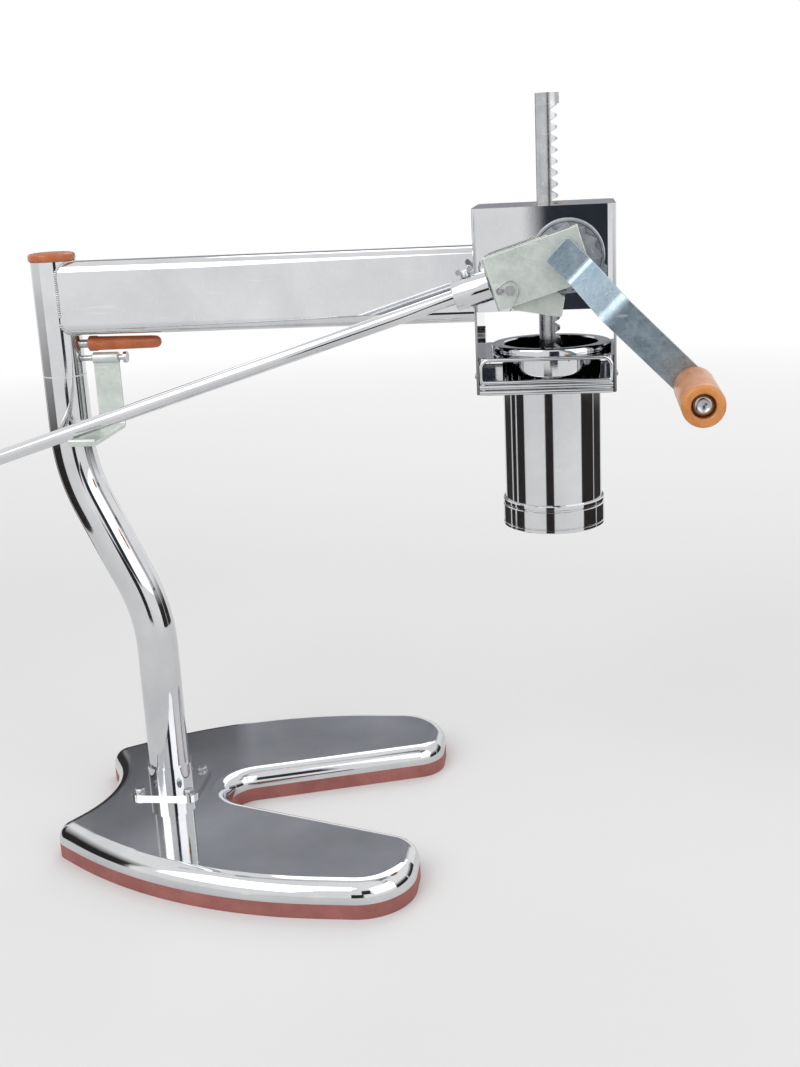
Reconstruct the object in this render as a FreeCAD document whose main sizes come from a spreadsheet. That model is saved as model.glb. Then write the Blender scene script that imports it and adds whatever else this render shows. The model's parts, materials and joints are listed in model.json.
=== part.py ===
"""Pasta extruder with crank: a barrel press on an arm that swivels on a weighted stand.

Millimetres, +Z up. The origin lies on the floor under the post's foot, +X runs to the
barrel and +Y away from the crank. Local letters: the lever's own axes run along the
lever (x), towards the crank (y) and up (z).
"""
import FreeCAD
import Part
import Sketcher
import math
import os
import re

Vector = FreeCAD.Vector
Placement = FreeCAD.Placement
Rotation = FreeCAD.Rotation

SIZES = {
    # Stand
    "pad_height": 11.0,
    "shell_height": 14.0,
    "shell_wall": 1.5,
    "shell_round": 12.0,
    "waist_corner": 36.0,
    "waist_round": 100.0,
    "lobe_reach": 73.0,
    "lobe_side": 68.0,
    "lobe_round": 14.0,
    "front_corner": 35.0,
    "front_round": 320.0,
    "base_half_width": 148.0,
    "leg_reach": 207.0,
    "leg_round": 40.0,
    "tip_round": 24.0,
    "slot_apex": 4.0,
    "slot_slope": 0.35,
    "slot_round": 25.0,
    "weight_back": 40.0,
    "weight_front": 38.0,
    "weight_half_width": 78.0,
    "weight_height": 9.0,
    "flange_side": 53.0,
    "flange_height": 3.0,
    "flange_round": 7.0,
    "collar_radius": 17.5,
    "collar_height": 17.0,
    "bolt_spacing": 39.0,
    "bolt_radius": 2.5,
    "bolt_head_radius": 4.6,
    "bolt_head_height": 3.0,
    # Post and swivel
    "post_radius": 15.5,
    "tube_wall": 2.0,
    "post_offset": 49.0,
    "bend_drop": 212.0,
    "bend_radius": 138.0,
    "bend_angle": 23.5,
    "seam_drop": 75.0,
    "washer_height": 1.0,
    "sleeve_rise": 7.0,
    "spigot_overlap": 32.0,
    "spigot_gap": 5.0,
    "cap_radius": 16.6,
    "cap_height": 6.0,
    "cap_bevel": 1.6,
    "running_fit": 0.05,
    "side_play": 0.3,
    # Arm beam
    "beam_drop": 45.3,
    "beam_height": 51.5,
    "beam_width": 28.0,
    "beam_round": 8.0,
    # Clamp screw and lever hook
    "clamp_drop": 52.5,
    "clamp_screw_radius": 3.0,
    "clamp_grip_start": 21.0,
    "clamp_grip_length": 54.0,
    "clamp_grip_radius": 5.5,
    "clamp_grip_taper": 1.2,
    "hook_pin_drop": 63.0,
    "hook_pin_radius": 2.0,
    "hook_pin_length": 30.5,
    "hook_head_radius": 4.0,
    "hook_head_height": 2.5,
    "hook_start": 23.0,
    "hook_width": 19.0,
    "hook_thickness": 3.0,
    "knuckle_wall": 2.0,
    "hook_gap": 0.3,
    "hook_beyond": 10.0,
    "hook_nose": 4.0,
    # Head
    "reach": 304.0,
    "head_back": 50.0,
    "head_width": 94.0,
    "head_half_depth": 40.0,
    "head_rise": 32.0,
    "plate_drop": 35.0,
    "head_round": 6.0,
    "sheet": 2.0,
    "shaft_height": 427.0,
    "shaft_radius": 4.5,
    "bearing_radius": 24.0,
    "bearing_height": 5.0,
    "bearing_hub_radius": 9.5,
    "bearing_hub_length": 6.0,
    "guide_radius": 13.0,
    "guide_height": 10.0,
    "wall_bolt_drop": 55.0,
    "wall_bolt_radius": 6.0,
    # Barrel and die
    "holder_drop": 91.0,
    "holder_height": 25.0,
    "holder_wall": 2.5,
    "holder_lip": 9.0,
    "barrel_radius": 34.0,
    "barrel_wall": 1.5,
    "barrel_length": 118.0,
    "rim_radius": 41.3,
    "rim_height": 5.0,
    "die_ring_radius": 35.9,
    "die_ring_height": 19.5,
    "die_lip": 2.0,
    "die_lip_radius": 32.3,
    "die_height": 4.0,
    "die_hole_radius": 2.2,
    "die_hole_spacing": 11.0,
    # Rack and pinion
    "rack_radius": 8.0,
    "rack_rise": 103.0,
    "tooth_module": 2.35,
    "pressure_angle": 30.0,
    "pinion_teeth": 7.0,
    "rack_teeth": 24.0,
    "teeth_below": 11.0,
    "pitch_line": 4.4,
    "rack_addendum": 2.0,
    "pinion_addendum": 2.0,
    "dedendum": 2.35,
    "backlash": 0.15,
    "pinion_width": 18.0,
    "pinion_hub_radius": 5.8,
    "piston_lift": 57.0,
    "piston_height": 14.0,
    "piston_play": 0.3,
    "seal_height": 4.0,
    "seal_depth": 2.5,
    "nut_height": 7.0,
    "nut_radius": 11.5,
    "foot_radius": 6.0,
    "foot_depth": 10.0,
    # Ratchet, lever and pawl
    "lever_tilt": 17.2,
    "wheel_radius": 21.75,
    "wheel_root": 17.2,
    "wheel_teeth": 12.0,
    "wheel_back": 51.0,
    "wheel_width": 8.0,
    "wheel_hub_radius": 9.0,
    "fork_back": 46.0,
    "fork_front": 64.0,
    "fork_wall": 2.6,
    "fork_half_height": 17.5,
    "fork_end": 12.0,
    "fork_corner": 1.5,
    "fork_length": 52.5,
    "socket_radius": 10.0,
    "socket_length": 24.5,
    "rod_radius": 5.0,
    "rod_end": 446.0,
    "lever_cap_length": 18.0,
    "lever_cap_radius": 6.6,
    "lever_cap_bevel": 2.0,
    "wing_place": 65.7,
    "wing_screw_radius": 2.0,
    "wing_boss_radius": 3.2,
    "wing_boss_taper": 0.6,
    "wing_boss_height": 3.0,
    "wing_span": 11.5,
    "wing_rise": 5.7,
    "wing_thickness": 2.2,
    "pawl_pin_along": 41.0,
    "pawl_pin_drop": 7.0,
    "pawl_pin_radius": 2.5,
    "pawl_back": 50.4,
    "pawl_width": 6.0,
    "pawl_heel": 6.5,
    "pawl_face_along": 18.0,
    "pawl_face_drop": 13.1,
    "pawl_nose_along": 13.5,
    "pawl_nose_drop": 17.8,
    "pawl_back_along": 9.5,
    "pawl_back_drop": 23.5,
    "pawl_tab_along": 15.3,
    "pawl_tab_drop": 35.0,
    "pawl_corner_along": 43.3,
    "pawl_corner_drop": 20.5,
    "pin_head_radius": 3.2,
    "pin_head_height": 2.0,
    "spring_wire_radius": 0.45,
    "spring_bow_radius": 6.0,
    "spring_bow_start": 70.0,
    "spring_bow_end": 225.0,
    "spring_lead": 5.2,
    "spring_eye_radius": 2.2,
    "spring_eye_turn": 270.0,
    "spring_leg": 10.3,
    "spring_bend_radius": 1.2,
    "spring_tail": 5.2,
    "spring_peg_radius": 1.6,
    "spring_peg_height": 1.2,
    # Crank
    "crank_angle": 45.0,
    "crank_length": 106.8,
    "crank_width": 20.0,
    "crank_thickness": 5.0,
    "crank_back": 67.0,
    "crank_offset": 38.0,
    "crank_stub": 9.5,
    "joggle_start": 14.0,
    "joggle_end": 40.0,
    "grip_radius": 12.5,
    "grip_gap": 2.0,
    "grip_length": 68.0,
    "grip_bevel": 1.6,
    "grip_recess_radius": 7.2,
    "grip_recess_depth": 9.0,
    "spindle_radius": 4.0,
    "spindle_head_radius": 6.2,
    "spindle_head_height": 5.0,
    "crank_bend_round": 3.0,
    "shaft_tail": 4.0,
    "ring_radius": 8.5,
    "ring_height": 1.2,
}

DERIVED = {
    "shell_top": "pad_height + shell_height",
    "flange_top": "shell_top + flange_height",
    "tube_bore": "post_radius - tube_wall",
    "seam_height": "shaft_height - seam_drop",
    "bend_start": "seam_height - bend_drop",
    "sleeve_bottom": "seam_height + washer_height",
    "sleeve_top": "shaft_height + sleeve_rise",
    "beam_bottom": "shaft_height - beam_drop",
    "clamp_height": "shaft_height - clamp_drop",
    "hook_pin_height": "shaft_height - hook_pin_drop",
    "head_left": "reach - head_back",
    "head_top": "shaft_height + head_rise",
    "head_plate_bottom": "shaft_height - plate_drop",
    "wall_bolt_height": "shaft_height - wall_bolt_drop",
    "holder_bottom": "shaft_height - holder_drop",
    "holder_top": "holder_bottom + holder_height",
    "pitch_radius": "tooth_module * pinion_teeth / 2",
    "shaft_reach": "reach + pitch_line + pitch_radius",
    "barrel_bore": "barrel_radius - barrel_wall",
    "barrel_top": "holder_top + rim_height",
    "barrel_bottom": "holder_top - barrel_length",
    "die_ring_bottom": "barrel_bottom - die_height - die_lip",
    "die_ring_top": "die_ring_bottom + die_ring_height",
    "crank_front": "crank_back + crank_thickness",
    "crank_outer": "crank_front + crank_offset",
    "grip_start": "crank_outer + grip_gap",
    "grip_end": "grip_start + grip_length",
    "piston_radius": "barrel_bore - piston_play",
    "piston_bottom": "barrel_bottom + piston_lift",
    "piston_top": "piston_bottom + piston_height",
    "rack_shoulder": "piston_top + nut_height",
    "rack_top": "shaft_height + rack_rise",
    "lever_middle": "(fork_back + fork_front) / 2",
    "hook_reach": "lever_middle + hook_beyond",
    "hook_tongue_top": "shaft_height - tan(lever_tilt) * (shaft_reach + post_offset - hook_start)"
                       " - rod_radius / cos(lever_tilt) - hook_gap",
}

doc = FreeCAD.newDocument("PastaExtruder")
sheet = doc.addObject("Spreadsheet::Sheet", "Sizes")
for row, (alias, value) in enumerate(list(SIZES.items()) + list(DERIVED.items()), start=1):
    sheet.set(f"A{row}", alias)
    sheet.set(f"B{row}", str(value) if alias in SIZES else f"={value}")
    sheet.setAlias(f"B{row}", alias)
doc.recompute()


def bound(formula):
    """Put the sheet's name before each alias of a formula."""
    words = re.compile(r"[a-z]+(?:_[a-z]+)*")
    return words.sub(lambda word: f"Sizes.{word[0]}" if word[0] in SIZES or word[0] in DERIVED else word[0],
                     str(formula))


def bind(target, **formulas):
    """Bind properties of an object to formulas of the sheet."""
    for name, formula in formulas.items():
        target.setExpression(name.replace("_at_", "."), bound(formula))


def move_to(target, x="0", y="0", z="0"):
    """Bind the place of an object to formulas of the sheet."""
    for letter, formula in (("x", x), ("y", y), ("z", z)):
        target.setExpression(f"Placement.Base.{letter}", bound(formula))


def on_lever(target, x="0", y="0", z="0"):
    """Place an object by the lever's own axes, which start at the shaft."""
    target.Placement = Placement(Vector(), Rotation(180, sheet.lever_tilt, 0))
    move_to(target, f"shaft_reach - cos(lever_tilt) * ({x}) - sin(lever_tilt) * ({z})", f"-({y})",
            f"shaft_height - sin(lever_tilt) * ({x}) + cos(lever_tilt) * ({z})")


def on_crank(target, x="0"):
    """Place an object by the crank's own axes: x along the arm, y as in the whole part."""
    target.Placement = Placement(Vector(), Rotation(0, sheet.crank_angle, 0))
    move_to(target, f"shaft_reach + cos(crank_angle) * ({x})", "0",
            f"shaft_height - sin(crank_angle) * ({x})")


TURNS = {
    "X": Rotation(Vector(0, 0, 1), Vector(1, 0, 0)),
    "Y": Rotation(Vector(0, 0, 1), Vector(0, 1, 0)),
    "Z": Rotation(),
}


def cylinder(label, radius, height, x="0", y="0", z="0", along="Z"):
    """A round bar that starts at a point and runs along a positive axis."""
    bar = doc.addObject("Part::Cylinder", label)
    bar.Placement = Placement(Vector(), TURNS[along])
    bind(bar, Radius=radius, Height=height)
    move_to(bar, x, y, z)
    return bar


def cone(label, radius, end_radius, height, x="0", y="0", z="0", along="Z"):
    """A tapered bar that starts at a point and runs along a positive axis."""
    bar = doc.addObject("Part::Cone", label)
    bar.Placement = Placement(Vector(), TURNS[along])
    bind(bar, Radius1=radius, Radius2=end_radius, Height=height)
    move_to(bar, x, y, z)
    return bar


def block(label, length, width, height, x="0", y="0", z="0"):
    """A box from its corner with the lowest coordinates."""
    brick = doc.addObject("Part::Box", label)
    bind(brick, Length=length, Width=width, Height=height)
    move_to(brick, x, y, z)
    return brick


def cut(label, base, tool):
    """One object less another."""
    result = doc.addObject("Part::Cut", label)
    result.Base = base
    result.Tool = tool
    result.Label = label
    return result


def join(label, pieces):
    """Several objects as one."""
    result = doc.addObject("Part::MultiFuse", label)
    result.Shapes = pieces
    result.Label = label
    return result


def group(label, pieces):
    """Several separate solids kept in one node."""
    result = doc.addObject("Part::Compound", label)
    result.Links = pieces
    result.Label = label
    return result


def tube(label, radius, bore, height, x="0", y="0", z="0", along="Z"):
    """A round tube that starts at a point and runs along a positive axis."""
    return cut(label, cylinder(f"{label}_outside", radius, height, x, y, z, along),
               cylinder(f"{label}_bore", bore, height, x, y, z, along))


def solid(label, shape, place=None):
    """A shape worked out from the sheet's values, as an object of the document."""
    feature = doc.addObject("Part::Feature", label)
    feature.Shape = shape
    feature.Placement = place or Placement()
    return feature


class Piece:
    """A PartDesign body with short calls for the features it is made of."""

    def __init__(self, label):
        self.body = doc.addObject("PartDesign::Body", label)
        self.body.Label = label
        self.label = label

    def sketch(self, plane, corners=(), circles=()):
        """A sketch on an origin plane: one closed outline, circles, or both."""
        sketch = self.body.newObject("Sketcher::SketchObject", f"{self.label}_outline")
        support = [part for part in self.body.Origin.OriginFeatures if part.Role == plane][0]
        sketch.AttachmentSupport = (support, "")
        sketch.MapMode = "FlatFace"
        count = len(corners)
        ring = [Vector(math.cos(math.tau * i / max(count, 1)), math.sin(math.tau * i / max(count, 1)), 0)
                for i in range(count)]
        for i in range(count):
            sketch.addGeometry(Part.LineSegment(ring[i], ring[(i + 1) % count]))
        for i in range(count):
            sketch.addConstraint(Sketcher.Constraint("Coincident", i, 2, (i + 1) % count, 1))
        for i, corner in enumerate(corners):
            self.pin(sketch, i, 1, ring[i], corner)
        for i, (x, y, radius) in enumerate(circles, start=count):
            sketch.addGeometry(Part.Circle(Vector(), Vector(0, 0, 1), 1.0))
            row = sketch.addConstraint(Sketcher.Constraint("Radius", i, 1.0))
            sketch.setExpression(f"Constraints[{row}]", bound(radius))
            self.pin(sketch, i, 3, Vector(), (x, y))
        return sketch

    @staticmethod
    def pin(sketch, line, point, start, place):
        """Tie one point of a sketch to two formulas."""
        for kind, value, formula in (("DistanceX", start.x, place[0]), ("DistanceY", start.y, place[1])):
            row = sketch.addConstraint(Sketcher.Constraint(kind, -1, 1, line, point, value))
            sketch.setExpression(f"Constraints[{row}]", bound(formula))

    def pad(self, sketch, length, middle=False, back=False):
        """Raise a sketch along its plane's normal, or by halves to both sides."""
        feature = self.body.newObject("PartDesign::Pad", f"{self.label}_pad")
        feature.Profile = sketch
        feature.Midplane = middle
        feature.Reversed = back
        bind(feature, Length=length)
        doc.recompute()
        return self

    def pocket(self, sketch, length=None, middle=False, back=False):
        """Cut a sketch into the body, right through where no depth is given."""
        feature = self.body.newObject("PartDesign::Pocket", f"{self.label}_pocket")
        feature.Profile = sketch
        feature.Midplane = middle
        feature.Reversed = back
        before = self.body.Shape.Volume
        if length is None:
            feature.Type = "ThroughAll"
            feature.Midplane = True
        else:
            bind(feature, Length=length)
        doc.recompute()
        if self.body.Shape.Volume >= before:
            raise RuntimeError(f"a pocket of {self.label} cuts nothing")
        return self

    def revolve(self, sketch, axis="V_Axis"):
        """Turn a sketch about one of its own axes."""
        feature = self.body.newObject("PartDesign::Revolution", f"{self.label}_turn")
        feature.Profile = sketch
        feature.ReferenceAxis = (sketch, [axis])
        feature.Angle = 360
        doc.recompute()
        return self

    def fillet(self, radius, chosen):
        """Round the edges that a test of an edge picks."""
        base = self.body.Tip
        names = [f"Edge{i}" for i, edge in enumerate(base.Shape.Edges, start=1) if chosen(edge)]
        if not names:
            raise RuntimeError(f"no edge of {self.label} to round")
        feature = self.body.newObject("PartDesign::Fillet", f"{self.label}_round")
        feature.Base = (base, names)
        bind(feature, Radius=radius)
        doc.recompute()
        return self

    def hollow(self, wall, opened):
        """Leave a thin shell, open at the faces that a test of a face picks."""
        base = self.body.Tip
        names = [f"Face{i}" for i, face in enumerate(base.Shape.Faces, start=1) if opened(face)]
        feature = self.body.newObject("PartDesign::Thickness", f"{self.label}_hollow")
        feature.Base = (base, names)
        feature.Reversed = True
        bind(feature, Value=wall)
        doc.recompute()
        return self


def upright(edge):
    """Tell whether an edge is a straight vertical line."""
    box = edge.BoundBox
    return box.ZLength > max(box.XLength, box.YLength, 1e-6) * 1000


def near(value, goal):
    """Tell whether two lengths agree to a hundredth of a millimetre."""
    return abs(value - goal) < 0.01


# Stand: the pad and the polished shell share one outline

BASE_OUTLINE = [
    ("-waist_corner", "0"),
    ("-lobe_reach", "-lobe_side"),
    ("front_corner", "-base_half_width"),
    ("leg_reach", "-base_half_width"),
    ("leg_reach", "-(leg_reach + slot_apex) * slot_slope"),
    ("-slot_apex", "0"),
    ("leg_reach", "(leg_reach + slot_apex) * slot_slope"),
    ("leg_reach", "base_half_width"),
    ("front_corner", "base_half_width"),
    ("-lobe_reach", "lobe_side"),
]


def base_plate(label, height):
    """The base's outline at some height, with every upright corner rounded."""
    piece = Piece(label)
    piece.pad(piece.sketch("XY_Plane", BASE_OUTLINE), height)
    tip_side = (sheet.leg_reach + sheet.slot_apex) * sheet.slot_slope
    corners = (
        ("tip_round", sheet.leg_reach, tip_side),
        ("leg_round", sheet.leg_reach, sheet.base_half_width),
        ("lobe_round", -sheet.lobe_reach, sheet.lobe_side),
        ("front_round", sheet.front_corner, sheet.base_half_width),
        ("waist_round", -sheet.waist_corner, 0.0),
        ("slot_round", -sheet.slot_apex, 0.0),
    )
    for radius, x, side in corners:
        piece.fillet(radius, lambda edge: upright(edge) and near(edge.BoundBox.XMin, x)
                     and near(abs(edge.BoundBox.YMin), side))
    return piece


base_pad = base_plate("base_pad", "pad_height")

base_shell = base_plate("base_shell", "shell_height")
base_shell.fillet("shell_round", lambda edge: near(edge.BoundBox.ZMin, sheet.shell_height))
base_shell.hollow("shell_wall", lambda face: near(face.BoundBox.ZMax, 0.0))
bolt_circles = [(f"{x} * bolt_spacing / 2", f"{y} * bolt_spacing / 2", "bolt_radius")
                for x in (-1, 1) for y in (-1, 1)]
base_shell.pocket(base_shell.sketch("XY_Plane", circles=bolt_circles))
move_to(base_shell.body, z="pad_height")

block("base_weight", "weight_back + weight_front", "2 * weight_half_width", "weight_height",
      "-weight_back", "-weight_half_width", "pad_height")

flange = Piece("post_flange")
flange.pad(flange.sketch("XY_Plane", [(f"{x} * flange_side / 2", f"{y} * flange_side / 2")
                                      for x, y in ((-1, -1), (1, -1), (1, 1), (-1, 1))]), "flange_height")
flange.fillet("flange_round", upright)
flange.pad(flange.sketch("XY_Plane", circles=[("0", "0", "collar_radius")]), "flange_height + collar_height")
flange.pocket(flange.sketch("XY_Plane", circles=[("0", "0", "post_radius")]))
flange.pocket(flange.sketch("XY_Plane", circles=bolt_circles))
move_to(flange.body, z="shell_top")

bolts = []
for number, (x, y, radius) in enumerate(bolt_circles, start=1):
    shank = cylinder(f"flange_shank_{number}", radius, "flange_height + shell_wall", x, y, "shell_top - shell_wall")
    head = cylinder(f"flange_head_{number}", "bolt_head_radius", "bolt_head_height", x, y, "flange_top")
    bolts.append(join(f"flange_bolt_{number}", [shank, head]))
group("flange_bolts", bolts)


def post_shape():
    """The post: a tube that rises, bends back and over, and rises again."""
    angle = math.radians(sheet.bend_angle)
    bend = sheet.bend_radius
    side = bend * (1 - math.cos(angle))
    rise = bend * math.sin(angle)
    slope = (sheet.post_offset - 2 * side) / math.sin(angle)
    half_side = bend * (1 - math.cos(angle / 2))
    half_rise = bend * math.sin(angle / 2)
    low = Vector(0, 0, sheet.bend_start)
    low_end = low + Vector(-side, 0, rise)
    high = low_end + Vector(-slope * math.sin(angle), 0, slope * math.cos(angle))
    high_end = high + Vector(-side, 0, rise)
    path = Part.Wire([
        Part.makeLine(Vector(0, 0, sheet.shell_top), low),
        Part.Arc(low, low + Vector(-half_side, 0, half_rise), low_end).toShape(),
        Part.makeLine(low_end, high),
        Part.Arc(high, high_end + Vector(half_side, 0, -half_rise), high_end).toShape(),
        Part.makeLine(high_end, Vector(-sheet.post_offset, 0, sheet.seam_height)),
    ])
    bars = []
    for radius in (sheet.post_radius, sheet.tube_bore):
        ring = Part.Wire(Part.makeCircle(radius, Vector(0, 0, sheet.shell_top), Vector(0, 0, 1)))
        bars.append(path.makePipeShell([ring], True, False))
    return bars[0].cut(bars[1])


solid("post_tube", post_shape())

spigot = Piece("post_spigot")
spigot.revolve(spigot.sketch("XZ_Plane", [
    ("0", "-spigot_overlap"),
    ("tube_bore", "-spigot_overlap"),
    ("tube_bore", "0"),
    ("tube_bore - running_fit", "0"),
    ("tube_bore - running_fit", "sleeve_top - seam_height - spigot_gap"),
    ("0", "sleeve_top - seam_height - spigot_gap"),
]))
move_to(spigot.body, "-post_offset", "0", "seam_height")

tube("swivel_washer", "post_radius", "tube_bore", "washer_height", "-post_offset", "0", "seam_height")

# Arm: sleeve, cap and beam

sleeve = Piece("arm_sleeve")
sleeve.pad(sleeve.sketch("XY_Plane", circles=[("0", "0", "post_radius"), ("0", "0", "tube_bore")]),
           "sleeve_top - sleeve_bottom")
sleeve.pocket(sleeve.sketch("YZ_Plane", circles=[
    ("0", "clamp_height - sleeve_bottom", "clamp_screw_radius + running_fit"),
    ("0", "hook_pin_height - sleeve_bottom", "hook_pin_radius")]), "post_radius", back=True)
move_to(sleeve.body, "-post_offset", "0", "sleeve_bottom")

cap = Piece("sleeve_cap")
cap.revolve(cap.sketch("XZ_Plane", [
    ("0", "0"),
    ("cap_radius", "0"),
    ("cap_radius", "cap_height - cap_bevel"),
    ("cap_radius - cap_bevel", "cap_height"),
    ("0", "cap_height"),
]))
move_to(cap.body, "-post_offset", "0", "sleeve_top")

beam = Piece("arm_beam")
beam_side = "(beam_width / 2)"
beam.pad(beam.sketch("YZ_Plane", [(f"-{beam_side}", "0"), (beam_side, "0"), (beam_side, "beam_height"),
                                  (f"-{beam_side}", "beam_height")]), "head_left + post_offset")
beam.fillet("beam_round", lambda edge: near(edge.BoundBox.XLength, sheet.head_left + sheet.post_offset))
beam.hollow("tube_wall", lambda face: near(face.BoundBox.XLength, 0.0))
beam.pocket(beam.sketch("XY_Plane", circles=[("0", "0", "post_radius")]))
move_to(beam.body, "-post_offset", "0", "beam_bottom")

cylinder("clamp_screw", "clamp_screw_radius", "clamp_grip_start - tube_bore - side_play",
         "-post_offset + tube_bore + side_play", "0", "clamp_height", "X")
cone("clamp_grip", "clamp_grip_radius", "clamp_grip_radius - clamp_grip_taper", "clamp_grip_length",
     "-post_offset + clamp_grip_start", "0", "clamp_height", "X")

join("hook_pin", [
    cylinder("hook_pin_bar", "hook_pin_radius", "hook_pin_length + tube_wall",
             "-post_offset + tube_bore", "0", "hook_pin_height", "X"),
    cylinder("hook_pin_head", "hook_head_radius", "hook_head_height",
             "-post_offset + post_radius + hook_pin_length", "0", "hook_pin_height", "X"),
])

hook = Piece("lever_hook")
hook_drop = "(hook_pin_height - hook_tongue_top)"
hook.pad(hook.sketch("YZ_Plane", [
    ("-hook_thickness / 2", "0"),
    ("-hook_thickness / 2", f"-{hook_drop}"),
    ("-hook_reach + hook_thickness", f"-{hook_drop}"),
    ("-hook_reach", f"-{hook_drop} + hook_nose"),
    ("-hook_reach - hook_thickness", f"-{hook_drop} + hook_nose - hook_thickness / 2"),
    ("-hook_reach", f"-{hook_drop} - hook_thickness"),
    ("hook_thickness / 2", f"-{hook_drop} - hook_thickness"),
    ("hook_thickness / 2", "0"),
]), "hook_width")
hook.pad(hook.sketch("YZ_Plane", circles=[("0", "0", "hook_pin_radius + knuckle_wall")]), "hook_width")
hook.pocket(hook.sketch("YZ_Plane", circles=[("0", "0", "hook_pin_radius + running_fit")]))
move_to(hook.body, "-post_offset + hook_start", "0", "hook_pin_height")

# Head: folded sheet housing, bearings, rack guide and the bolt that holds the beam

housing = Piece("head_housing")
head_height = "(head_top - holder_bottom)"
housing.pad(housing.sketch("XY_Plane", [
    ("0", "-head_half_depth"), ("head_width", "-head_half_depth"),
    ("head_width", "head_half_depth"), ("0", "head_half_depth")]), head_height)
housing.fillet("head_round", upright)
housing.hollow("sheet", lambda face: near(face.BoundBox.ZMax, 0.0))
window_top = "head_plate_bottom - holder_bottom"
housing.pocket(housing.sketch("XZ_Plane", [
    ("sheet", "0"), ("head_width - sheet", "0"), ("head_width - sheet", window_top), ("sheet", window_top)]))
housing.pocket(housing.sketch("XZ_Plane", circles=[
    ("shaft_reach - head_left", "shaft_height - holder_bottom", "bearing_hub_radius")]))
housing.pocket(housing.sketch("XY_Plane", circles=[("reach - head_left", "0", "guide_radius")]),
               head_height, back=True)
move_to(housing.body, "head_left", "0", "holder_bottom")

for label, side in (("front_bearing", -1), ("rear_bearing", 1)):
    bearing = Piece(label)
    bearing.revolve(bearing.sketch("XY_Plane", [
        ("shaft_radius + running_fit", "-bearing_hub_length"),
        ("bearing_hub_radius", "-bearing_hub_length"),
        ("bearing_hub_radius", "0"),
        ("bearing_radius", "0"),
        ("bearing_radius", "bearing_height"),
        ("shaft_radius + running_fit", "bearing_height"),
    ]))
    bearing.body.Placement = Placement(Vector(), Rotation(0, 0, 180 if side < 0 else 0))
    move_to(bearing.body, "shaft_reach", f"{side} * head_half_depth", "shaft_height")

guide = Piece("rack_guide")
guide.revolve(guide.sketch("XZ_Plane", [
    ("rack_radius + running_fit", "-guide_height"),
    ("guide_radius + sheet", "-guide_height"),
    ("guide_radius + sheet", "-sheet"),
    ("guide_radius", "-sheet"),
    ("guide_radius", "0"),
    ("rack_radius + running_fit", "0"),
]))
move_to(guide.body, "reach", "0", "head_top")

cylinder("wall_bolt", "wall_bolt_radius", "bolt_head_height", "head_left + sheet", "0", "wall_bolt_height", "X")

# Barrel holder, barrel and die

holder = Piece("barrel_holder")
inner_width = "(head_width - 2 * sheet)"
holder.pad(holder.sketch("XZ_Plane", [("0", "0"), (inner_width, "0"), (inner_width, "holder_height"),
                                      ("0", "holder_height")]), "2 * head_half_depth", middle=True)
holder.fillet("head_round - sheet", upright)
holder.pocket(holder.sketch("XZ_Plane", [
    ("holder_wall", "holder_wall"), (f"{inner_width} - holder_wall", "holder_wall"),
    (f"{inner_width} - holder_wall", "holder_height - holder_wall"),
    ("holder_wall", "holder_height - holder_wall")]), "2 * (head_half_depth - holder_wall)", middle=True)
holder.pocket(holder.sketch("XZ_Plane", [
    ("holder_wall", "holder_lip"), (f"{inner_width} - holder_wall", "holder_lip"),
    (f"{inner_width} - holder_wall", "holder_height - holder_wall"),
    ("holder_wall", "holder_height - holder_wall")]))
holder.pocket(holder.sketch("XY_Plane", circles=[
    ("reach - head_left - sheet", "0", "barrel_radius")]))
move_to(holder.body, "head_left + sheet", "0", "holder_bottom")

barrel = Piece("barrel")
barrel.revolve(barrel.sketch("XZ_Plane", [
    ("barrel_bore", "barrel_bottom"),
    ("barrel_radius", "barrel_bottom"),
    ("barrel_radius", "holder_top"),
    ("rim_radius", "holder_top"),
    ("rim_radius", "barrel_top"),
    ("barrel_bore", "barrel_top"),
]))
move_to(barrel.body, "reach")

die_ring = Piece("die_ring")
die_ring.revolve(die_ring.sketch("XZ_Plane", [
    ("die_lip_radius", "die_ring_bottom"),
    ("die_ring_radius", "die_ring_bottom"),
    ("die_ring_radius", "die_ring_top"),
    ("barrel_radius + running_fit", "die_ring_top"),
    ("barrel_radius + running_fit", "die_ring_bottom + die_lip"),
    ("die_lip_radius", "die_ring_bottom + die_lip"),
]))
move_to(die_ring.body, "reach")

die_plate = Piece("die_plate")
hole_rows = [(across, along) for along in range(-2, 3) for across in range(-2, 3) if abs(across + along) <= 2]
die_holes = [(f"die_hole_spacing * {across + along / 2}", f"die_hole_spacing * {along} * cos(30)",
              "die_hole_radius") for across, along in hole_rows]
die_plate.pad(die_plate.sketch("XY_Plane", circles=[("0", "0", "barrel_radius")] + die_holes), "die_height")
move_to(die_plate.body, "reach", "0", "die_ring_bottom + die_lip")

# Rack, piston and pinion

PITCH = math.pi * sheet.tooth_module
LEAN = math.radians(sheet.pressure_angle)


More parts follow.
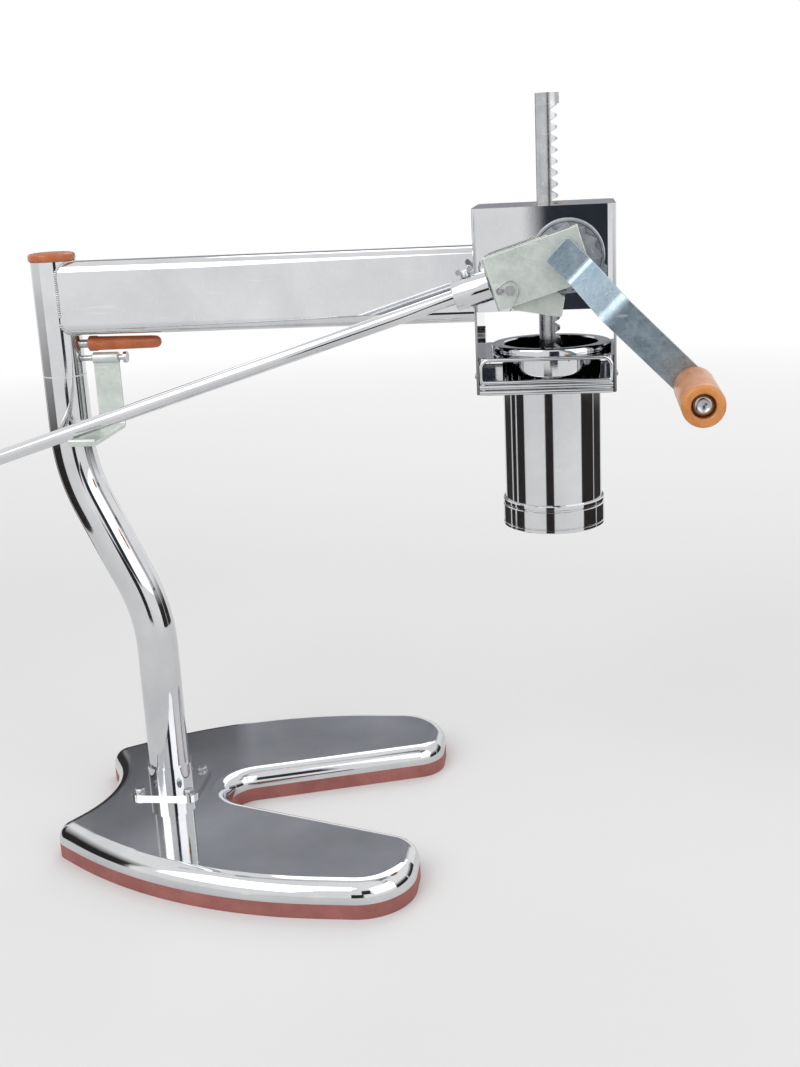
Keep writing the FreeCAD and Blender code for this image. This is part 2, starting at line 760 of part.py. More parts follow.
def rack_shape():
    """The rack: a round bar with a flat and straight-sided teeth towards the pinion."""
    foot = Part.makeCylinder(sheet.foot_radius, sheet.rack_shoulder - sheet.piston_top + sheet.foot_depth,
                             Vector(0, 0, sheet.piston_top - sheet.foot_depth))
    bar = Part.makeCylinder(sheet.rack_radius, sheet.rack_top - sheet.rack_shoulder,
                            Vector(0, 0, sheet.rack_shoulder))
    lowest = sheet.shaft_height - (sheet.teeth_below + 1) * PITCH
    tip = sheet.pitch_line + sheet.rack_addendum
    flat = Part.makeBox(sheet.rack_radius, 2 * sheet.rack_radius, (sheet.rack_teeth + 1) * PITCH,
                        Vector(tip, -sheet.rack_radius, lowest))
    root = sheet.pitch_line - sheet.dedendum
    half_space = PITCH / 4 + sheet.backlash / 4
    root_half = half_space - sheet.dedendum * math.tan(LEAN)
    tip_half = half_space + sheet.rack_addendum * math.tan(LEAN)
    gaps = []
    for number in range(int(sheet.rack_teeth) + 1):
        middle = lowest + (number + 0.5) * PITCH
        corners = [
            Vector(root, -sheet.rack_radius, middle - root_half),
            Vector(root, -sheet.rack_radius, middle + root_half),
            Vector(tip, -sheet.rack_radius, middle + tip_half),
            Vector(tip, -sheet.rack_radius, middle - tip_half),
        ]
        face = Part.Face(Part.makePolygon(corners + corners[:1]))
        gaps.append(face.extrude(Vector(0, 2 * sheet.rack_radius, 0)))
    return foot.fuse(bar).removeSplitter().cut([flat]).cut(gaps)


solid("rack_bar", rack_shape(), Placement(Vector(sheet.reach, 0, 0), Rotation()))


def involute(angle):
    """The angle that an involute has turned through where its pressure angle is this."""
    return math.tan(angle) - angle


def pinion_shape():
    """The pinion: involute teeth on a hub, with a space towards the rack."""
    pitch = sheet.pitch_radius
    base = pitch * math.cos(LEAN)
    outer = pitch + sheet.pinion_addendum
    root = pitch - sheet.dedendum
    half = (PITCH / 4 - sheet.backlash / 4) / pitch + involute(LEAN)
    radii = [base, (base + outer) / 2, outer]
    count = int(sheet.pinion_teeth)
    edges = []
    start = -sheet.pinion_width / 2

    def at(radius, angle):
        """A point of the tooth outline, from its distance and angle at the axis."""
        return Vector(radius * math.cos(angle), start, radius * math.sin(angle))

    for number in range(count):
        middle = math.pi + (number + 0.5) * math.tau / count
        after = middle + math.tau / count
        spread = [half - involute(math.acos(base / radius)) for radius in radii]
        rise = [at(radius, middle - side) for radius, side in zip(radii, spread)]
        fall = [at(radius, middle + side) for radius, side in zip(radii, spread)]
        edges += [
            Part.makeLine(at(root, middle - half), rise[0]),
            Part.Arc(*rise).toShape(),
            Part.Arc(rise[-1], at(outer, middle), fall[-1]).toShape(),
            Part.Arc(*fall[::-1]).toShape(),
            Part.makeLine(fall[0], at(root, middle + half)),
            Part.Arc(at(root, middle + half), at(root, middle + math.pi / count),
                     at(root, after - half)).toShape(),
        ]
    gear = Part.Face(Part.Wire(Part.__sortEdges__(edges))).extrude(Vector(0, sheet.pinion_width, 0))
    hub_end = sheet.head_half_depth - sheet.bearing_hub_length - sheet.side_play
    hub = Part.makeCylinder(sheet.pinion_hub_radius, 2 * hub_end, Vector(0, -hub_end, 0), Vector(0, 1, 0))
    bore = Part.makeCylinder(sheet.shaft_radius, 2 * hub_end, Vector(0, -hub_end, 0), Vector(0, 1, 0))
    return gear.fuse(hub).cut(bore)


solid("drive_pinion", pinion_shape(), Placement(Vector(sheet.shaft_reach, 0, sheet.shaft_height), Rotation()))

cylinder("pinion_shaft", "shaft_radius", "crank_front + head_half_depth + bearing_height + shaft_tail",
         "shaft_reach", "-crank_front", "shaft_height", "Y")
tube("shaft_ring", "ring_radius", "shaft_radius", "ring_height", "shaft_reach",
     "head_half_depth + bearing_height + side_play", "shaft_height", "Y")
tube("crank_spacer", "ring_radius", "shaft_radius", "crank_back - fork_front - side_play", "shaft_reach",
     "-crank_back", "shaft_height", "Y")

piston = Piece("piston")
seal_start = "(piston_height - seal_height) / 2"
piston.revolve(piston.sketch("XZ_Plane", [
    ("0", "0"),
    ("piston_radius", "0"),
    ("piston_radius", seal_start),
    ("piston_radius - seal_depth", seal_start),
    ("piston_radius - seal_depth", f"{seal_start} + seal_height"),
    ("piston_radius", f"{seal_start} + seal_height"),
    ("piston_radius", "piston_height"),
    ("foot_radius", "piston_height"),
    ("foot_radius", "piston_height - foot_depth"),
    ("0", "piston_height - foot_depth"),
]))
move_to(piston.body, "reach", "0", "piston_bottom")

tube("piston_seal", "piston_radius", "piston_radius - seal_depth", "seal_height", "reach", "0",
     f"piston_bottom + {seal_start}")

nut = doc.addObject("Part::Prism", "piston_nut_outside")
nut.Polygon = 6
bind(nut, Circumradius="nut_radius", Height="nut_height")
move_to(nut, "reach", "0", "piston_top")
cut("piston_nut", nut, cylinder("piston_nut_bore", "foot_radius", "nut_height", "reach", "0", "piston_top"))

# Ratchet wheel, lever and pawl


def wheel_shape():
    """The ratchet wheel: pointed teeth whose steep sides face the pawl, and a hub."""
    count = int(sheet.wheel_teeth)
    start = -(sheet.wheel_back + sheet.wheel_width)
    corners = []
    for number in range(count):
        angle = math.tau * number / count
        for radius in (sheet.wheel_root, sheet.wheel_radius):
            corners.append(Vector(radius * math.cos(angle), start, radius * math.sin(angle)))
    blank = Part.Face(Part.makePolygon(corners + corners[:1])).extrude(Vector(0, sheet.wheel_width, 0))
    hub_back = -(sheet.fork_back + sheet.fork_wall + sheet.side_play)
    hub_front = -(sheet.fork_front - sheet.fork_wall - sheet.side_play)
    hub, bore = (Part.makeCylinder(radius, hub_back - hub_front, Vector(0, hub_front, 0), Vector(0, 1, 0))
                 for radius in (sheet.wheel_hub_radius, sheet.shaft_radius))
    return blank.fuse(hub).cut(bore)


solid("ratchet_wheel", wheel_shape(), Placement(Vector(sheet.shaft_reach, 0, sheet.shaft_height), Rotation()))

fork = Piece("lever_fork")
fork.pad(fork.sketch("XY_Plane", [
    ("-fork_end", "fork_back"),
    ("fork_length", "fork_back"),
    ("fork_length", "fork_front"),
    ("-fork_end", "fork_front"),
    ("-fork_end", "fork_front - fork_wall"),
    ("fork_length - fork_wall", "fork_front - fork_wall"),
    ("fork_length - fork_wall", "fork_back + fork_wall"),
    ("-fork_end", "fork_back + fork_wall"),
]), "2 * fork_half_height", middle=True)
fork.fillet("fork_wall + side_play", lambda edge: upright(edge) and near(edge.BoundBox.XMin, sheet.fork_length))
fork.fillet("fork_corner", lambda edge: near(edge.BoundBox.XMax, -sheet.fork_end)
            and near(edge.BoundBox.YLength, sheet.fork_wall) and near(edge.BoundBox.ZLength, 0.0))
fork.pocket(fork.sketch("XZ_Plane", circles=[
    ("0", "0", "shaft_radius + running_fit"), ("pawl_pin_along", "-pawl_pin_drop", "pawl_pin_radius")]))
on_lever(fork.body)

socket = Piece("lever_socket")
socket.pad(socket.sketch("YZ_Plane", circles=[("0", "0", "socket_radius"), ("0", "0", "rod_radius")]),
           "socket_length")
socket.pocket(socket.sketch("XY_Plane", circles=[
    ("wing_place - fork_length", "0", "wing_screw_radius + running_fit")]), "socket_radius", back=True)
on_lever(socket.body, "fork_length", "lever_middle")

rod = Piece("lever_rod")
rod.pad(rod.sketch("YZ_Plane", circles=[("0", "0", "rod_radius")]), "rod_end - fork_length")
on_lever(rod.body, "fork_length", "lever_middle")

rod_cap = Piece("lever_end_cap")
rod_cap.revolve(rod_cap.sketch("XY_Plane", [
    ("0", "0"),
    ("0", "lever_cap_radius - lever_cap_bevel"),
    ("-lever_cap_bevel", "lever_cap_radius"),
    ("-lever_cap_length", "lever_cap_radius"),
    ("-lever_cap_length", "rod_radius"),
    ("-lever_cap_length / 4", "rod_radius"),
    ("-lever_cap_length / 4", "0"),
]), "H_Axis")
on_lever(rod_cap.body, "rod_end + lever_cap_length / 4", "lever_middle")

wing = Piece("wing_screw")
wing_seat = "(socket_radius + side_play)"
wing_foot = f"({wing_seat} + wing_boss_height / 3)"
wing.revolve(wing.sketch("XZ_Plane", [
    ("0", "rod_radius + side_play"),
    ("wing_screw_radius", "rod_radius + side_play"),
    ("wing_screw_radius", wing_seat),
    ("wing_boss_radius", wing_seat),
    ("wing_boss_radius - wing_boss_taper", f"{wing_seat} + wing_boss_height"),
    ("0", f"{wing_seat} + wing_boss_height"),
]))
wing.pad(wing.sketch("XZ_Plane", [
    ("-wing_boss_radius / 2", wing_foot),
    ("wing_boss_radius / 2", wing_foot),
    ("wing_span / 2", f"{wing_foot} + wing_rise / 2"),
    ("wing_span / 2", f"{wing_foot} + wing_rise * 0.8"),
    ("wing_span / 3", f"{wing_foot} + wing_rise"),
    ("wing_boss_radius / 2", f"{wing_seat} + wing_boss_height"),
    ("-wing_boss_radius / 2", f"{wing_seat} + wing_boss_height"),
    ("-wing_span / 3", f"{wing_foot} + wing_rise"),
    ("-wing_span / 2", f"{wing_foot} + wing_rise * 0.8"),
    ("-wing_span / 2", f"{wing_foot} + wing_rise / 2"),
]), "wing_thickness", middle=True)
on_lever(wing.body, "wing_place", "lever_middle")

pawl = Piece("pawl")
pawl.pad(pawl.sketch("XZ_Plane", [
    ("pawl_pin_along", "-pawl_pin_drop + pawl_heel"),
    ("pawl_face_along", "-pawl_face_drop"),
    ("pawl_nose_along", "-pawl_nose_drop"),
    ("pawl_back_along", "-pawl_back_drop"),
    ("pawl_tab_along", "-pawl_tab_drop"),
    ("pawl_corner_along", "-pawl_corner_drop"),
    ("pawl_pin_along + pawl_heel", "-pawl_pin_drop"),
]), "pawl_width", back=True)
pawl.pad(pawl.sketch("XZ_Plane", circles=[("pawl_pin_along", "-pawl_pin_drop", "pawl_heel")]), "pawl_width",
         back=True)
pawl.pocket(pawl.sketch("XZ_Plane", circles=[
    ("pawl_pin_along", "-pawl_pin_drop", "pawl_pin_radius + running_fit")]))
on_lever(pawl.body, y="pawl_back")

pawl_pin = Piece("pawl_pin")
pawl_pin.revolve(pawl_pin.sketch("XY_Plane", [
    ("0", "fork_back - pin_head_height / 2"),
    ("pin_head_radius", "fork_back - pin_head_height / 2"),
    ("pin_head_radius", "fork_back"),
    ("pawl_pin_radius", "fork_back"),
    ("pawl_pin_radius", "fork_front"),
    ("pin_head_radius", "fork_front"),
    ("pin_head_radius", "fork_front + pin_head_height"),
    ("0", "fork_front + pin_head_height"),
]))
on_lever(pawl_pin.body, "pawl_pin_along", "0", "-pawl_pin_drop")


peg = Piece("spring_peg")
eye_shift = "(spring_bow_radius - spring_eye_radius)"
peg.pad(peg.sketch("XZ_Plane", circles=[("0", "0", "spring_peg_radius")]), "spring_peg_height", back=True)
on_lever(peg.body, f"pawl_pin_along + cos(spring_bow_start) * {eye_shift} + sin(spring_bow_start) * spring_lead",
         "fork_front", f"sin(spring_bow_start) * {eye_shift} - cos(spring_bow_start) * spring_lead - pawl_pin_drop")


def spring_path():
    """The centre line of the pawl's spring in the lever's own axes, from its eye to its hooked tail."""
    front = sheet.fork_front + sheet.spring_wire_radius + sheet.running_fit
    pin = Vector(sheet.pawl_pin_along, front, -sheet.pawl_pin_drop)

    def ray(angle):
        """The direction at an angle in the plane of the lever's cheek."""
        return Vector(math.cos(math.radians(angle)), 0, math.sin(math.radians(angle)))

    def bend(centre, radius, start, end):
        """An arc about a centre from one angle to another."""
        return Part.Arc(*(centre + ray(angle) * radius for angle in (start, (start + end) / 2, end))).toShape()

    first, last = sheet.spring_bow_start, sheet.spring_bow_end
    bow_start = pin + ray(first) * sheet.spring_bow_radius
    eye_start = bow_start + ray(first - 90) * sheet.spring_lead
    eye = eye_start - ray(first) * sheet.spring_eye_radius
    half = sheet.spring_eye_turn / 2
    bow_end = pin + ray(last) * sheet.spring_bow_radius
    leg_end = bow_end + ray(last + 90) * sheet.spring_leg
    inward = Vector(0, -sheet.spring_bend_radius, 0)
    outward = ray(last + 90) * sheet.spring_bend_radius
    tail = leg_end + outward + inward
    corner = leg_end + inward + (outward - inward) * math.sqrt(0.5)
    path = Part.Wire([
        bend(eye, sheet.spring_eye_radius, first - 2 * half, first - half),
        bend(eye, sheet.spring_eye_radius, first - half, first),
        Part.makeLine(eye_start, bow_start),
        bend(pin, sheet.spring_bow_radius, first, last),
        Part.makeLine(bow_end, leg_end),
        Part.Arc(leg_end, corner, tail).toShape(),
        Part.makeLine(tail, tail - Vector(0, sheet.spring_tail, 0)),
    ])
    return path, eye + ray(first - 2 * half) * sheet.spring_eye_radius, ray(first - 2 * half + 90)


def spring_gap(path):
    """The least distance between two parts of the wire that are over half an eye apart along it."""
    points = path.discretize(Distance=sheet.spring_wire_radius)
    apart = int(math.pi * sheet.spring_eye_radius / sheet.spring_wire_radius)
    between = min((here - there).Length for count, here in enumerate(points) for there in points[count + apart:])
    return between - 2 * sheet.spring_wire_radius


spring_line, spring_start, spring_way = spring_path()
print("least gap of the spring to itself", round(spring_gap(spring_line), 2))
spring_ring = Part.Wire(Part.makeCircle(sheet.spring_wire_radius, spring_start, spring_way))
shaft_place = Placement(Vector(sheet.shaft_reach, 0, sheet.shaft_height), Rotation(180, sheet.lever_tilt, 0))
solid("pawl_spring", spring_line.makePipeShell([spring_ring], True, False), shaft_place)

# Crank

crank = Piece("crank_arm")
bend_shift = "crank_thickness * 0.53"
crank.pad(crank.sketch("XY_Plane", [
    ("-crank_stub", "-crank_back"),
    ("-crank_stub", "-crank_front"),
    (f"joggle_start - {bend_shift}", "-crank_front"),
    (f"joggle_end - {bend_shift}", "-crank_outer"),
    ("crank_length + crank_width / 2", "-crank_outer"),
    ("crank_length + crank_width / 2", "-crank_outer + crank_thickness"),
    ("joggle_end", "-crank_outer + crank_thickness"),
    ("joggle_start", "-crank_back"),
]), "crank_width", middle=True)
crank.fillet("crank_bend_round", lambda edge: upright(edge)
             and sheet.joggle_start - 4 < edge.BoundBox.XMin < sheet.joggle_end + 1)
crank.fillet("crank_width / 2 - 0.1", lambda edge: near(edge.BoundBox.XMin, sheet.crank_length
             + sheet.crank_width / 2) and near(edge.BoundBox.YLength, sheet.crank_thickness)
             and near(edge.BoundBox.ZLength, 0.0))
crank.pocket(crank.sketch("XZ_Plane", circles=[("0", "0", "shaft_radius"),
                                               ("crank_length", "0", "spindle_radius")]))
on_crank(crank.body)

grip = Piece("crank_grip")
grip.revolve(grip.sketch("XY_Plane", [
    ("spindle_radius + running_fit", "-grip_start"),
    ("grip_radius - grip_bevel", "-grip_start"),
    ("grip_radius", "-grip_start - grip_bevel"),
    ("grip_radius", "-grip_end + grip_bevel"),
    ("grip_radius - grip_bevel", "-grip_end"),
    ("grip_recess_radius", "-grip_end"),
    ("grip_recess_radius", "-grip_end + grip_recess_depth"),
    ("spindle_radius + running_fit", "-grip_end + grip_recess_depth"),
]))
on_crank(grip.body, "crank_length")

spindle = Piece("grip_spindle")
head_start = "(-grip_end + grip_recess_depth - side_play)"
spindle.revolve(spindle.sketch("XY_Plane", [
    ("0", "-crank_outer + crank_thickness"),
    ("spindle_radius", "-crank_outer + crank_thickness"),
    ("spindle_radius", head_start),
    ("spindle_head_radius", head_start),
    ("spindle_head_radius", f"{head_start} - spindle_head_height"),
    ("0", f"{head_start} - spindle_head_height"),
]))
on_crank(spindle.body, "crank_length")

# Checks and files

doc.recompute()
for item in doc.Objects:
    if "Invalid" in item.State or "Error" in item.State:
        raise RuntimeError(f"{item.Label} failed")
nodes = [item for item in doc.Objects if not item.InList and item is not sheet]
for node in nodes:
    if node.Shape.isNull() or not node.Shape.isValid():
        raise RuntimeError(f"{node.Label} has no sound shape")
os.makedirs("parts", exist_ok=True)
for node in nodes:
    node.Shape.exportStep(f"parts/{node.Label}.step")
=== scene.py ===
"""Looks of a pasta extruder with crank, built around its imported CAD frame.

Sizes are millimetres in the part's frame, as in the part's source, and each mesh is
brought to metres once, when it is made.
"""

import json
import logging
import math
from dataclasses import dataclass, field
from enum import Enum
from typing import Iterable, Sequence

import bmesh
import bpy
from mathutils import Matrix, Vector

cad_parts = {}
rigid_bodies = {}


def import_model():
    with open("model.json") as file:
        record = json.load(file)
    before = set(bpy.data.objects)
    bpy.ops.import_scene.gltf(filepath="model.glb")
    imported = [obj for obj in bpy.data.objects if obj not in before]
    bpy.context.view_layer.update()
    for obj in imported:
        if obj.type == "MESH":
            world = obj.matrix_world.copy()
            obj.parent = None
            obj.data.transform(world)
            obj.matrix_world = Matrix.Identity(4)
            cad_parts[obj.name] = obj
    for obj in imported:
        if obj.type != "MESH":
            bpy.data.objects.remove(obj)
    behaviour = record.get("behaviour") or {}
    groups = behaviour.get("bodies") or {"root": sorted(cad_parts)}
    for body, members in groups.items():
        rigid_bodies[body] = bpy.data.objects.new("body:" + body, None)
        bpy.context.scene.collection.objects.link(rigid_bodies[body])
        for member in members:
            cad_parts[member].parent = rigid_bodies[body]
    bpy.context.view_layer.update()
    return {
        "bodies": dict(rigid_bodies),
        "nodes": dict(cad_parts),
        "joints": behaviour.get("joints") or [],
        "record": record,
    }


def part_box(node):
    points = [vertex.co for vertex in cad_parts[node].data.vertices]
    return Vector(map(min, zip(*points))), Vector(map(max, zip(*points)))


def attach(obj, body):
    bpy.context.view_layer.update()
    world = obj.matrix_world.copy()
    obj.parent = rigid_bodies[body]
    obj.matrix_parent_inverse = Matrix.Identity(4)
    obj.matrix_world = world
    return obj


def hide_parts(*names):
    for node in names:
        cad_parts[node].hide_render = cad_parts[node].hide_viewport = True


LOG = logging.getLogger("pasta_extruder")
METRES = 0.001
SEED = 7
Colour = tuple[float, float, float]
Point = tuple[float, float]


class Socket(Enum):
    """Kinds of socket that a node group can have."""

    FLOAT = "NodeSocketFloat"
    VECTOR = "NodeSocketVector"
    COLOUR = "NodeSocketColor"
    GEOMETRY = "NodeSocketGeometry"
    MATERIAL = "NodeSocketMaterial"
    WHOLE = "NodeSocketInt"


class Graph:
    """Short calls for adding nodes to one tree and joining them."""

    def __init__(self, tree: bpy.types.NodeTree) -> None:
        """Keep the tree."""
        self.tree = tree

    def add(self, kind: str, links: dict | None = None, **settings: object) -> bpy.types.Node:
        """Add one node.

        Args:
            kind: Blender's name of the node type.
            links: input name or number, with a socket to join or a value to set.
            settings: attributes of the node.

        Returns:
            The new node.
        """
        node = self.tree.nodes.new(kind)
        for name, value in settings.items():
            setattr(node, name, value)
        for key, value in (links or {}).items():
            if isinstance(value, bpy.types.NodeSocket):
                self.tree.links.new(value, node.inputs[key])
            else:
                node.inputs[key].default_value = value
        return node

    def maths(self, operation: str, first: object, second: object = 0.0) -> bpy.types.NodeSocket:
        """Add a Math node and give its result."""
        return self.add("ShaderNodeMath", {0: first, 1: second}, operation=operation).outputs[0]

    def spread(self, value: object, low: float, high: float, to_low: object = 0.0,
               to_high: object = 1.0) -> bpy.types.NodeSocket:
        """Map one range of a value to another, clamped."""
        return self.add("ShaderNodeMapRange", {0: value, 1: low, 2: high, 3: to_low, 4: to_high}).outputs[0]

    def blend(self, share: object, first: object, second: object) -> bpy.types.NodeSocket:
        """Mix two colours by a share and give the result."""
        node = self.add("ShaderNodeMix", {0: share, 6: first, 7: second}, data_type="RGBA")
        return node.outputs[2]


def new_group(name: str, kind: str, inputs: dict[str, Socket], outputs: dict[str, Socket]) -> tuple:
    """Start a node group with named sockets.

    Args:
        name: the group's name.
        kind: "ShaderNodeTree" or "GeometryNodeTree".
        inputs: input names with their kinds.
        outputs: output names with their kinds.

    Returns:
        The group, a graph on it, its input node and its output node.
    """
    group = bpy.data.node_groups.new(name, kind)
    for label, socket in inputs.items():
        group.interface.new_socket(label, in_out="INPUT", socket_type=socket.value)
    for label, socket in outputs.items():
        group.interface.new_socket(label, in_out="OUTPUT", socket_type=socket.value)
    graph = Graph(group)
    return group, graph, graph.add("NodeGroupInput").outputs, graph.add("NodeGroupOutput").inputs


class Effects:
    """Shader node groups that several finishes share, each built once."""

    def __init__(self) -> None:
        """Build every group."""
        self.mottle = self._mottle()
        self.grain = self._grain()
        self.scratches = self._scratches()
        self.pits = self._pits()
        self.spangle = self._spangle()

    @staticmethod
    def _mottle() -> bpy.types.NodeTree:
        """Soft patches between two colours."""
        group, graph, given, out = new_group(
            "Patches", "ShaderNodeTree",
            {"Vector": Socket.VECTOR, "Scale": Socket.FLOAT, "Dark": Socket.COLOUR, "Light": Socket.COLOUR},
            {"Color": Socket.COLOUR, "Mask": Socket.FLOAT})
        noise = graph.add("ShaderNodeTexNoise", {"Vector": given["Vector"], "Scale": given["Scale"],
                                                 "Detail": 5.0, "Roughness": 0.6, "Distortion": 0.3})
        mask = graph.spread(noise.outputs["Fac"], 0.32, 0.68)
        graph.tree.links.new(graph.blend(mask, given["Dark"], given["Light"]), out["Color"])
        graph.tree.links.new(mask, out["Mask"])
        return group

    @staticmethod
    def _grain() -> bpy.types.NodeTree:
        """Fine relief, drawn out along one way where the stretch is uneven."""
        group, graph, given, out = new_group(
            "Grain", "ShaderNodeTree",
            {"Vector": Socket.VECTOR, "Scale": Socket.FLOAT, "Stretch": Socket.VECTOR},
            {"Height": Socket.FLOAT})
        place = graph.add("ShaderNodeMapping", {"Vector": given["Vector"], "Scale": given["Stretch"]})
        noise = graph.add("ShaderNodeTexNoise", {"Vector": place.outputs[0], "Scale": given["Scale"],
                                                 "Detail": 4.0, "Roughness": 0.55})
        graph.tree.links.new(noise.outputs["Fac"], out["Height"])
        return group

    @staticmethod
    def _scratches() -> bpy.types.NodeTree:
        """Two families of hair lines that cross."""
        group, graph, given, out = new_group(
            "HairLines", "ShaderNodeTree", {"Vector": Socket.VECTOR, "Scale": Socket.FLOAT},
            {"Mask": Socket.FLOAT})
        lines = []
        for turn, scale in (((0.3, 0.5, 0.4), (1.0, 26.0, 9.0)), ((-0.4, 0.2, -0.7), (22.0, 1.0, 7.0))):
            place = graph.add("ShaderNodeMapping", {"Vector": given["Vector"], "Rotation": turn,
                                                    "Scale": scale})
            noise = graph.add("ShaderNodeTexNoise", {"Vector": place.outputs[0], "Scale": given["Scale"],
                                                     "Detail": 2.0})
            lines.append(graph.spread(noise.outputs["Fac"], 0.66, 0.74))
        graph.tree.links.new(graph.maths("MAXIMUM", *lines), out["Mask"])
        return group

    @staticmethod
    def _pits() -> bpy.types.NodeTree:
        """Small scattered spots."""
        group, graph, given, out = new_group(
            "Specks", "ShaderNodeTree",
            {"Vector": Socket.VECTOR, "Scale": Socket.FLOAT, "Least": Socket.FLOAT}, {"Mask": Socket.FLOAT})
        noise = graph.add("ShaderNodeTexNoise", {"Vector": given["Vector"], "Scale": given["Scale"],
                                                 "Detail": 3.0, "Roughness": 0.7})
        spots = graph.add("ShaderNodeMapRange", {0: noise.outputs["Fac"], 1: given["Least"],
                                                 2: graph.maths("ADD", given["Least"], 0.06)})
        graph.tree.links.new(spots.outputs[0], out["Mask"])
        return group

    @staticmethod
    def _spangle() -> bpy.types.NodeTree:
        """Flat crystals of a zinc coat."""
        group, graph, given, out = new_group(
            "Spangle", "ShaderNodeTree", {"Vector": Socket.VECTOR, "Scale": Socket.FLOAT},
            {"Value": Socket.FLOAT})
        cells = graph.add("ShaderNodeTexVoronoi", {"Vector": given["Vector"], "Scale": given["Scale"]})
        split = graph.add("ShaderNodeSeparateColor", {0: cells.outputs["Color"]})
        graph.tree.links.new(split.outputs[0], out["Value"])
        return group


@dataclass(frozen=True)
class Finish:
    """One surface finish: the numbers that its procedural materials are made from.

    Scales are counts to the metre, and heights are metres.
    """

    name: str
    slot: str
    dark: Colour
    light: Colour
    # tone of rubbed wear on hair lines and edges; satin_steel's warm cream value is a painted highlight for
    # the ratchet wheel's teeth
    worn_and_sheen: Colour
    metallic: float
    rough: tuple[float, float]
    patch_scale: float
    grain_scale: float
    grain_height: float
    stretch: Colour = (1.0, 1.0, 1.0)
    scratch_scale: float = 30.0
    scratch_tone: float = 0.2
    speck_scale: float = 420.0
    speck_least: float = 0.66
    speck_tone: float = 0.25
    spangle_scale: float = 180.0
    spangle_tone: float = 0.0
    coat: float = 0.0

    def material(self, effects: Effects, edge: bool = False) -> bpy.types.Material:
        """Build the material.

        Args:
            effects: the shared node groups.
            edge: whether it dresses the rubbed bevels instead of the open faces.

        Returns:
            The new material.
        """
        made = bpy.data.materials.new(self.name + ("_edge" if edge else ""))
        made.use_nodes = True
        graph = Graph(made.node_tree)
        shader = made.node_tree.nodes["Principled BSDF"]
        place = graph.add("ShaderNodeTexCoord").outputs["Object"]

        def effect(tree: bpy.types.NodeTree, values: dict, output: str) -> bpy.types.NodeSocket:
            """Place one shared group and give one of its outputs."""
            node = graph.tree.nodes.new("ShaderNodeGroup")
            node.node_tree = tree
            graph.tree.links.new(place, node.inputs["Vector"])
            for name, value in values.items():
                node.inputs[name].default_value = value
            return node.outputs[output]

        patches = effect(effects.mottle, {"Scale": self.patch_scale, "Dark": (*self.dark, 1.0),
                                          "Light": (*self.light, 1.0)}, "Color")
        smears = effect(effects.mottle, {"Scale": self.patch_scale * 2.3}, "Mask")
        grain = effect(effects.grain, {"Scale": self.grain_scale, "Stretch": self.stretch}, "Height")
        lines = effect(effects.scratches, {"Scale": self.scratch_scale}, "Mask")
        specks = effect(effects.pits, {"Scale": self.speck_scale, "Least": self.speck_least}, "Mask")
        shade = graph.blend(graph.spread(grain, 0.3, 0.7, 0.0, self.speck_tone), patches, (*self.dark, 1.0))
        if self.spangle_tone:
            crystals = effect(effects.spangle, {"Scale": self.spangle_scale}, "Value")
            shade = graph.blend(graph.spread(crystals, 0.0, 1.0, 0.0, self.spangle_tone), shade,
                                (*self.worn_and_sheen, 1.0))
        # hair lines take the worn tone, which is real wear, and on satin_steel also a painted cream highlight
        shade = graph.blend(graph.maths("MULTIPLY", lines, self.scratch_tone), shade, (*self.worn_and_sheen, 1.0))
        shade = graph.blend(graph.maths("MULTIPLY", specks, self.speck_tone), shade, (*self.dark, 1.0))
        if edge:
            rubbed = effect(effects.mottle, {"Scale": self.patch_scale * 4.0}, "Mask")
            shade = graph.blend(graph.spread(rubbed, 0.2, 0.8, 0.35, 0.95), shade, (*self.worn_and_sheen, 1.0))
        graph.tree.links.new(shade, shader.inputs["Base Color"])
        low, high = self.rough
        wear = graph.maths("ADD", smears, graph.maths("MULTIPLY", lines, 0.5))
        rough = graph.spread(wear, 0.0, 1.3, low, high)
        graph.tree.links.new(rough, shader.inputs["Roughness"])
        height = graph.maths("SUBTRACT", grain, graph.maths("MULTIPLY", specks, 0.6))
        height = graph.maths("SUBTRACT", height, graph.maths("MULTIPLY", lines, 0.25))
        relief = graph.add("ShaderNodeBump", {"Height": height, "Strength": 0.6,
                                              "Distance": self.grain_height})
        graph.tree.links.new(relief.outputs[0], shader.inputs["Normal"])
        shader.inputs["Metallic"].default_value = self.metallic
        shader.inputs["Coat Weight"].default_value = self.coat
        shader.inputs["Coat Roughness"].default_value = 0.12
        return made


